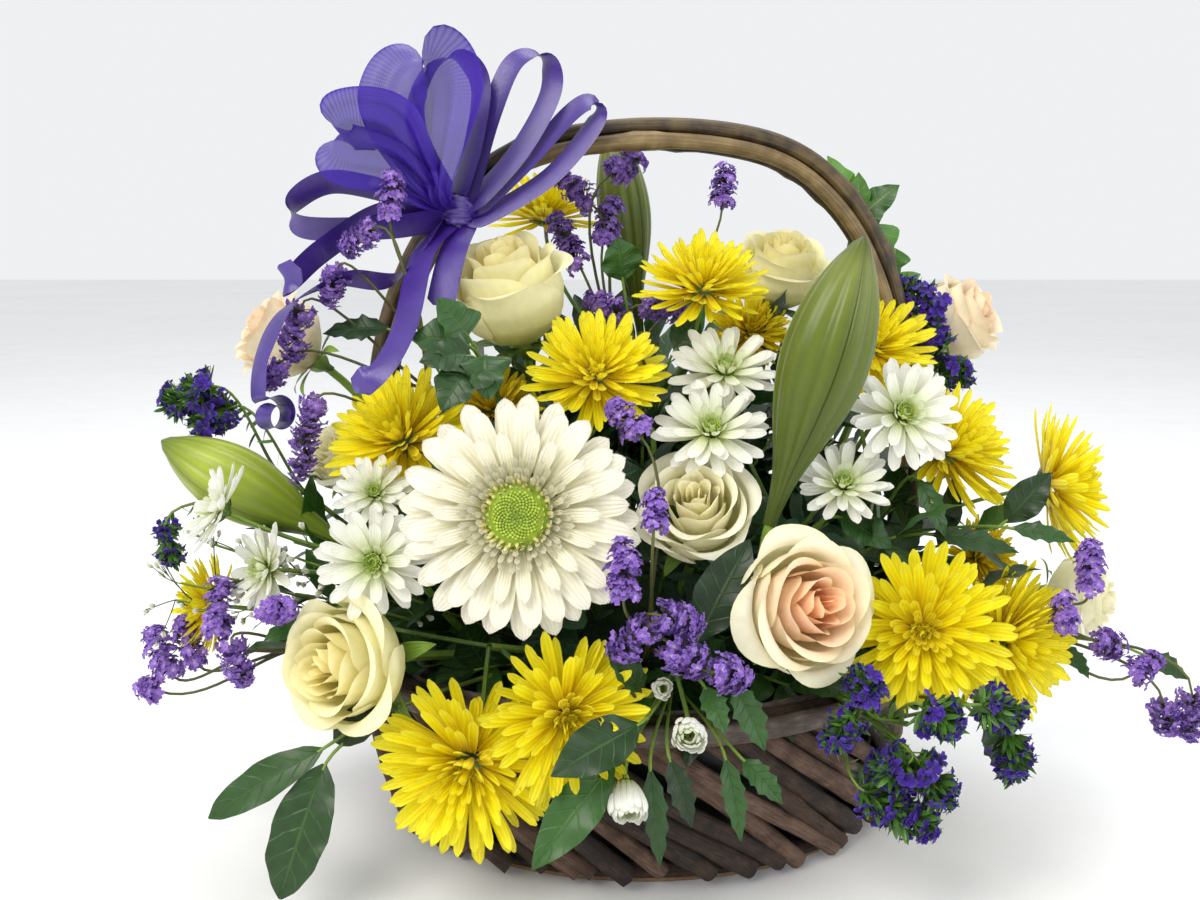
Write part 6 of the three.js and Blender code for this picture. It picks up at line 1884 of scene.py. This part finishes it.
SPRAYS = [
    Spray("limonium_upper_left", (-70, -20, 110), (-104, -50, 262), [
        ((-112, -52, 316), (-114, -50, 299), 11), ((-122, -52, 292), (-134, -52, 283), 11),
        ((-138, -54, 274), (-142, -52, 260), 11), ((-157, -46, 256), (-162, -48, 234), 13),
        ((-166, -50, 232), (-173, -52, 222), 11), ((-149, -62, 214), (-156, -64, 182), 12)]),
    Spray("limonium_far_left", (-75, -30, 80), (-176, -76, 104), [
        ((-228, -62, 108), (-222, -60, 88), 14), ((-215, -58, 112), (-211, -56, 92), 13),
        ((-236, -62, 82), (-228, -60, 78), 11), ((-188, -84, 138), (-190, -86, 116), 12),
        ((-182, -92, 112), (-177, -96, 96), 12), ((-161, -106, 132), (-150, -110, 134), 10)]),
    Spray("limonium_back", (-5, 20, 120), (-14, 14, 250), [
        ((-39, 22, 318), (-24, 20, 305), 13), ((-13, 22, 307), (-18, 20, 288), 13),
        ((-43, 18, 298), (-31, 10, 276), 14), ((-14, 18, 320), (0, 20, 328), 16),
        ((48, 72, 326), (47, 70, 308), 13), ((2, -6, 256), (20, -4, 254), 13),
        ((-26, -4, 258), (-10, -4, 252), 13)]),
    Spray("limonium_front", (0, -60, 90), (2, -120, 128), [
        ((-11, -148, 172), (-11, -152, 152), 12), ((2, -138, 190), (1, -142, 178), 9),
        ((-14, -150, 128), (-2, -150, 139), 13), ((4, -150, 144), (18, -148, 140), 13),
        ((8, -150, 132), (20, -150, 122), 15), ((26, -150, 121), (38, -148, 119), 14),
        ((-14, -92, 218), (-4, -94, 207), 14)]),
    Spray("limonium_right", (80, -15, 80), (206, -36, 112), [
        ((202, -70, 152), (203, -70, 132), 12), ((188, -78, 130), (190, -78, 116), 11),
        ((208, -70, 106), (220, -70, 102), 13), ((226, -70, 90), (236, -70, 98), 12),
        ((241, -70, 76), (244, -70, 62), 12), ((254, -70, 80), (255, -70, 60), 12)]),
    Spray("statice_left", (-80, 0, 96), (-176, -26, 176), [
        ((-224, -32, 210), (-206, -30, 218), 17), ((-212, -32, 200), (-198, -28, 208), 16),
        ((-221, -56, 155), (-219, -56, 142), 10)], True),
    Spray("statice_right_back", (60, 10, 110), (132, 12, 214), [
        ((130, 8, 264), (146, 6, 253), 18), ((136, 6, 244), (152, 4, 236), 17),
        ((150, 4, 222), (164, 2, 222), 17)], True),
    Spray("statice_front_right", (55, -50, 60), (106, -132, 92), [
        ((84, -140, 116), (86, -142, 104), 12), ((110, -144, 104), (120, -146, 96), 16),
        ((134, -142, 104), (148, -134, 98), 15), ((74, -142, 88), (80, -142, 98), 11),
        ((92, -142, 75), (103, -144, 80), 16), ((110, -142, 78), (120, -142, 64), 17),
        ((88, -140, 66), (112, -142, 52), 16), ((150, -126, 84), (154, -124, 66), 14)], True),
]

# Of each branched stem: what it leaves the foam for, its fork, the numbers of its blooms, and its leaves.
MUM_STEMS = {
    "yellow_mum_stem_back": ((10, 10, 120), (6, 18, 200), (1, 2, 15), [
        Leaf((-9, -12, 268), (-12, -18, 288), 19), Leaf((28, -8, 250), (16, -14, 234), 14)]),
    "yellow_mum_stem_left": ((-40, -30, 110), (-62, -36, 160), (3, 4, 5), [
        Leaf((-116, -44, 247), (-147, -44, 245), 13), Leaf((11, -46, 226), (-5, -50, 217), 12),
        Leaf((-49, -64, 206), (-72, -70, 196), 16)]),
    "yellow_mum_stem_right": ((70, -10, 90), (118, -18, 150), (6, 7, 8, 14), [
        Leaf((168, -54, 158), (186, -58, 182), 15), Leaf((170, -56, 156), (196, -66, 152), 10),
        Leaf((134, -52, 152), (172, -62, 146), 12), Leaf((128, -48, 178), (140, -56, 152), 12)]),
    "yellow_mum_stem_low_right": ((60, -35, 90), (112, -66, 108), (9, 10), [
        Leaf((240, -48, 92), (256, -60, 84), 12), Leaf((148, -100, 78), (158, -112, 56), 13),
        Leaf((200, -52, 98), (208, -64, 86), 9)]),
    "yellow_mum_stem_low_left": ((-30, -50, 90), (-68, -100, 114), (11, 12, 13), []),
}

# Of each leafy sprig: what it leaves the foam for, its fork and its leaves.
SPRIGS = {
    "leaf_sprig_low_left": ((-60, -70, 90), (-116, -112, 88), [
        Leaf((-138, -116, 74), (-185, -124, 47), 17), Leaf((-137, -118, 68), (-154, -134, 16), 25),
        Leaf((-134, -112, 76), (-112, -112, 90), 16)]),
    "ivy_sprig_right": ((60, 10, 120), (109, 21, 290), [
        Leaf((108, 20, 297), (94, 18, 328), 26), Leaf((109, 20, 296), (109, 16, 320), 20),
        Leaf((110, 20, 297), (129, 16, 314), 24), Leaf((122, 16, 268), (116, 12, 295), 28),
        Leaf((124, 14, 266), (128, 12, 283), 18), Leaf((127, 22, 262), (144, 24, 270), 16)]),
    "ivy_sprig_left": ((-30, -20, 120), (-72, -66, 232), [
        Leaf((-77, -72, 242), (-102, -74, 246), 30), Leaf((-76, -76, 238), (-97, -84, 236), 26),
        Leaf((-78, -70, 246), (-91, -70, 262), 24), Leaf((-75, -78, 236), (-88, -88, 216), 30),
        Leaf((-70, -78, 238), (-68, -86, 220), 24)]),
}

# Azimuth, elevation and reach of the leafy branches between the flowers.
LOW_BRANCHES = (
    (75, 22, 176), (68, 15, 172), (82, 30, 160), (60, 28, 150), (74, 8, 166), (-75, 20, 182),
    (-68, 14, 178), (-82, 28, 166), (-60, 26, 150), (-72, 4, 168), (-80, 4, 124), (-62, 2, 118),
    (-44, 6, 112), (-24, 4, 104), (-4, 2, 100), (16, 4, 102), (36, 4, 110), (56, 2, 120), (76, 4, 128),
    (-96, 8, 128), (96, 8, 130), (116, 6, 116), (-116, 6, 116))
HIGH_BRANCHES = (
    (-70, 34, 128), (-48, 40, 120), (-20, 48, 112), (10, 44, 104), (36, 40, 112), (60, 36, 124),
    (84, 34, 130), (-90, 40, 126), (0, 70, 142), (60, 66, 138), (-60, 66, 138), (-30, 20, 92), (20, 20, 92))


def plant_all(palette: Palette, basket: Basket) -> None:
    """Makes every flower, stem and leaf of the plan."""
    for i, rose in enumerate(ROSES):
        rose.build(palette, i + 1)
    for i, mum in enumerate(YELLOW_MUMS):
        mum.build(palette, i + 40)
    GERBERA.build(palette)
    stems = Stems(palette, basket)
    stems.single("gerbera_stem", (-20, -40, 110), np.add(GERBERA.at, -7 * GERBERA.axis), GERBERA.axis, 2.8,
                 "stem_green")
    for rose in ROSES:
        aim = np.multiply(rose.at, (0.6, 0.6, 0.2)) + [0, 0, 80]
        slot = "peach_petal" if rose.finish in ("peach", "blush") else "cream_petal"
        stems.single(rose.node, aim, np.add(rose.at, -rose.axis * rose.size * 0.44), rose.axis, 2.3, slot)
    for bud, aim in LILIES:
        axis = unit(np.subtract(bud.tip, bud.foot))
        bud.build(palette)
        stems.single(bud.node, aim, np.add(bud.foot, 2 * axis), axis, 2.4, "bud_green")
    for i, (node, (aim, fork, numbers, leaves)) in enumerate(MUM_STEMS.items()):
        blooms = [YELLOW_MUMS[number - 1] for number in numbers]
        stems.forked(node, aim, fork, blooms, leaves, 0.08, i + 60)
    for i, (node, (fork, aim, blooms, leaves)) in enumerate(WHITE_SPRAYS.items()):
        blooms = [WhiteMum(node, *plan) for plan in blooms]
        for k, bloom in enumerate(blooms):
            bloom.build(palette, f"{node}_{k + 1}", 10 * i + k + 3)
        stems.forked(node, aim, fork, blooms, leaves, 0.06, i + 70)
    for i, spray in enumerate(SPRAYS):
        spray.build(palette, basket, i + 80)
    foliage = Foliage(basket, palette)
    outlines = {"leaf_sprig_low_left": (Outline.OVAL, palette.leaf),
                "ivy_sprig_right": (Outline.IVY, palette.bright),
                "ivy_sprig_left": (Outline.IVY, palette.leaf)}
    for i, (node, (aim, fork, leaves)) in enumerate(SPRIGS.items()):
        foliage.sprig(node, aim, fork, leaves, *outlines[node], i + 90)
    foliage.back("foliage_back_left", 90, 170, 97)
    foliage.back("foliage_back_right", 10, 90, 98)
    foliage.filler("leafy_filler_low", 101, LOW_BRANCHES, palette.leaf, (24, 40), (12, 20), 9)
    foliage.filler("leafy_filler_high", 102, HIGH_BRANCHES, palette.dusky, (22, 36), (11, 18), 10)
    baby_breath(palette, basket)


# -------------------------------------------------------------------- studio


@dataclass
class Studio:
    """Pale floor, soft studio lights, a white surround and the camera."""

    eye: Point = (-0.020, -0.597, 0.288)
    pitch: float = 10.0

    def build(self) -> None:
        """Makes the stage, the lights, the world and the camera."""
        scene = bpy.context.scene
        scene.view_settings.view_transform = "Standard"
        self.floor()
        self.lamp("key", (-0.8, -1.2, 1.5), 1.0, 24.0, "#fffaf2")
        self.lamp("fill", (1.3, -0.9, 0.8), 1.2, 8.0, "#f2f6ff")
        self.lamp("top", (0.1, 0.5, 1.6), 1.0, 9.0, "#ffffff")
        world = bpy.data.worlds.new("studio_surround")
        world.use_nodes = True
        back = world.node_tree.nodes["Background"]
        back.inputs["Color"].default_value = linear("#f4f6f8")
        back.inputs["Strength"].default_value = 0.95
        scene.world = world
        data = bpy.data.cameras.new("camera")
        data.sensor_width = 36.0
        data.lens = 36.0
        camera = bpy.data.objects.new("camera", data)
        camera.location = self.eye
        camera.rotation_euler = (math.radians(90 - self.pitch), 0, 0)
        scene.collection.objects.link(camera)
        scene.camera = camera

    def floor(self) -> None:
        """Makes the floor that the basket stands on."""
        mesh = bpy.data.meshes.new("floor")
        corners = [(x, y, -0.5 * MM) for x, y in ((-6, -6), (6, -6), (6, 8), (-6, 8))]
        mesh.from_pydata(corners, [], [(0, 1, 2, 3)])
        sweep = GrainFinish("matte_white_sweep", "#eceded", "#f3f3f3", 60.0, 0.05, 0.9)
        mesh.materials.append(sweep.build())
        floor = bpy.data.objects.new("floor", mesh)
        bpy.context.scene.collection.objects.link(floor)

    def lamp(self, name: str, place: Point, size: float, power: float, tint: str) -> None:
        """Makes one soft area light that faces the arrangement."""
        data = bpy.data.lights.new(name, "AREA")
        data.size = size
        data.energy = power
        data.color = linear(tint)[:3]
        item = bpy.data.objects.new(name, data)
        item.location = place
        aim = np.array([0.0, 0.0, 0.16]) - np.array(place)
        item.rotation_euler = (math.acos(-unit(aim)[2]), 0.0, math.atan2(aim[1], aim[0]) - math.pi / 2)
        bpy.context.scene.collection.objects.link(item)


def main() -> None:
    """Dresses the arrangement and sets the studio up."""
    logging.basicConfig(level=logging.INFO, format="%(name)s %(message)s")
    palette = Palette()
    basket = Basket()
    handle = Handle()
    basket.build(palette)
    handle.build(palette)
    Bow().build(palette, handle)
    plant_all(palette, basket)
    Studio().build()


if __name__ == "__main__":
    main()
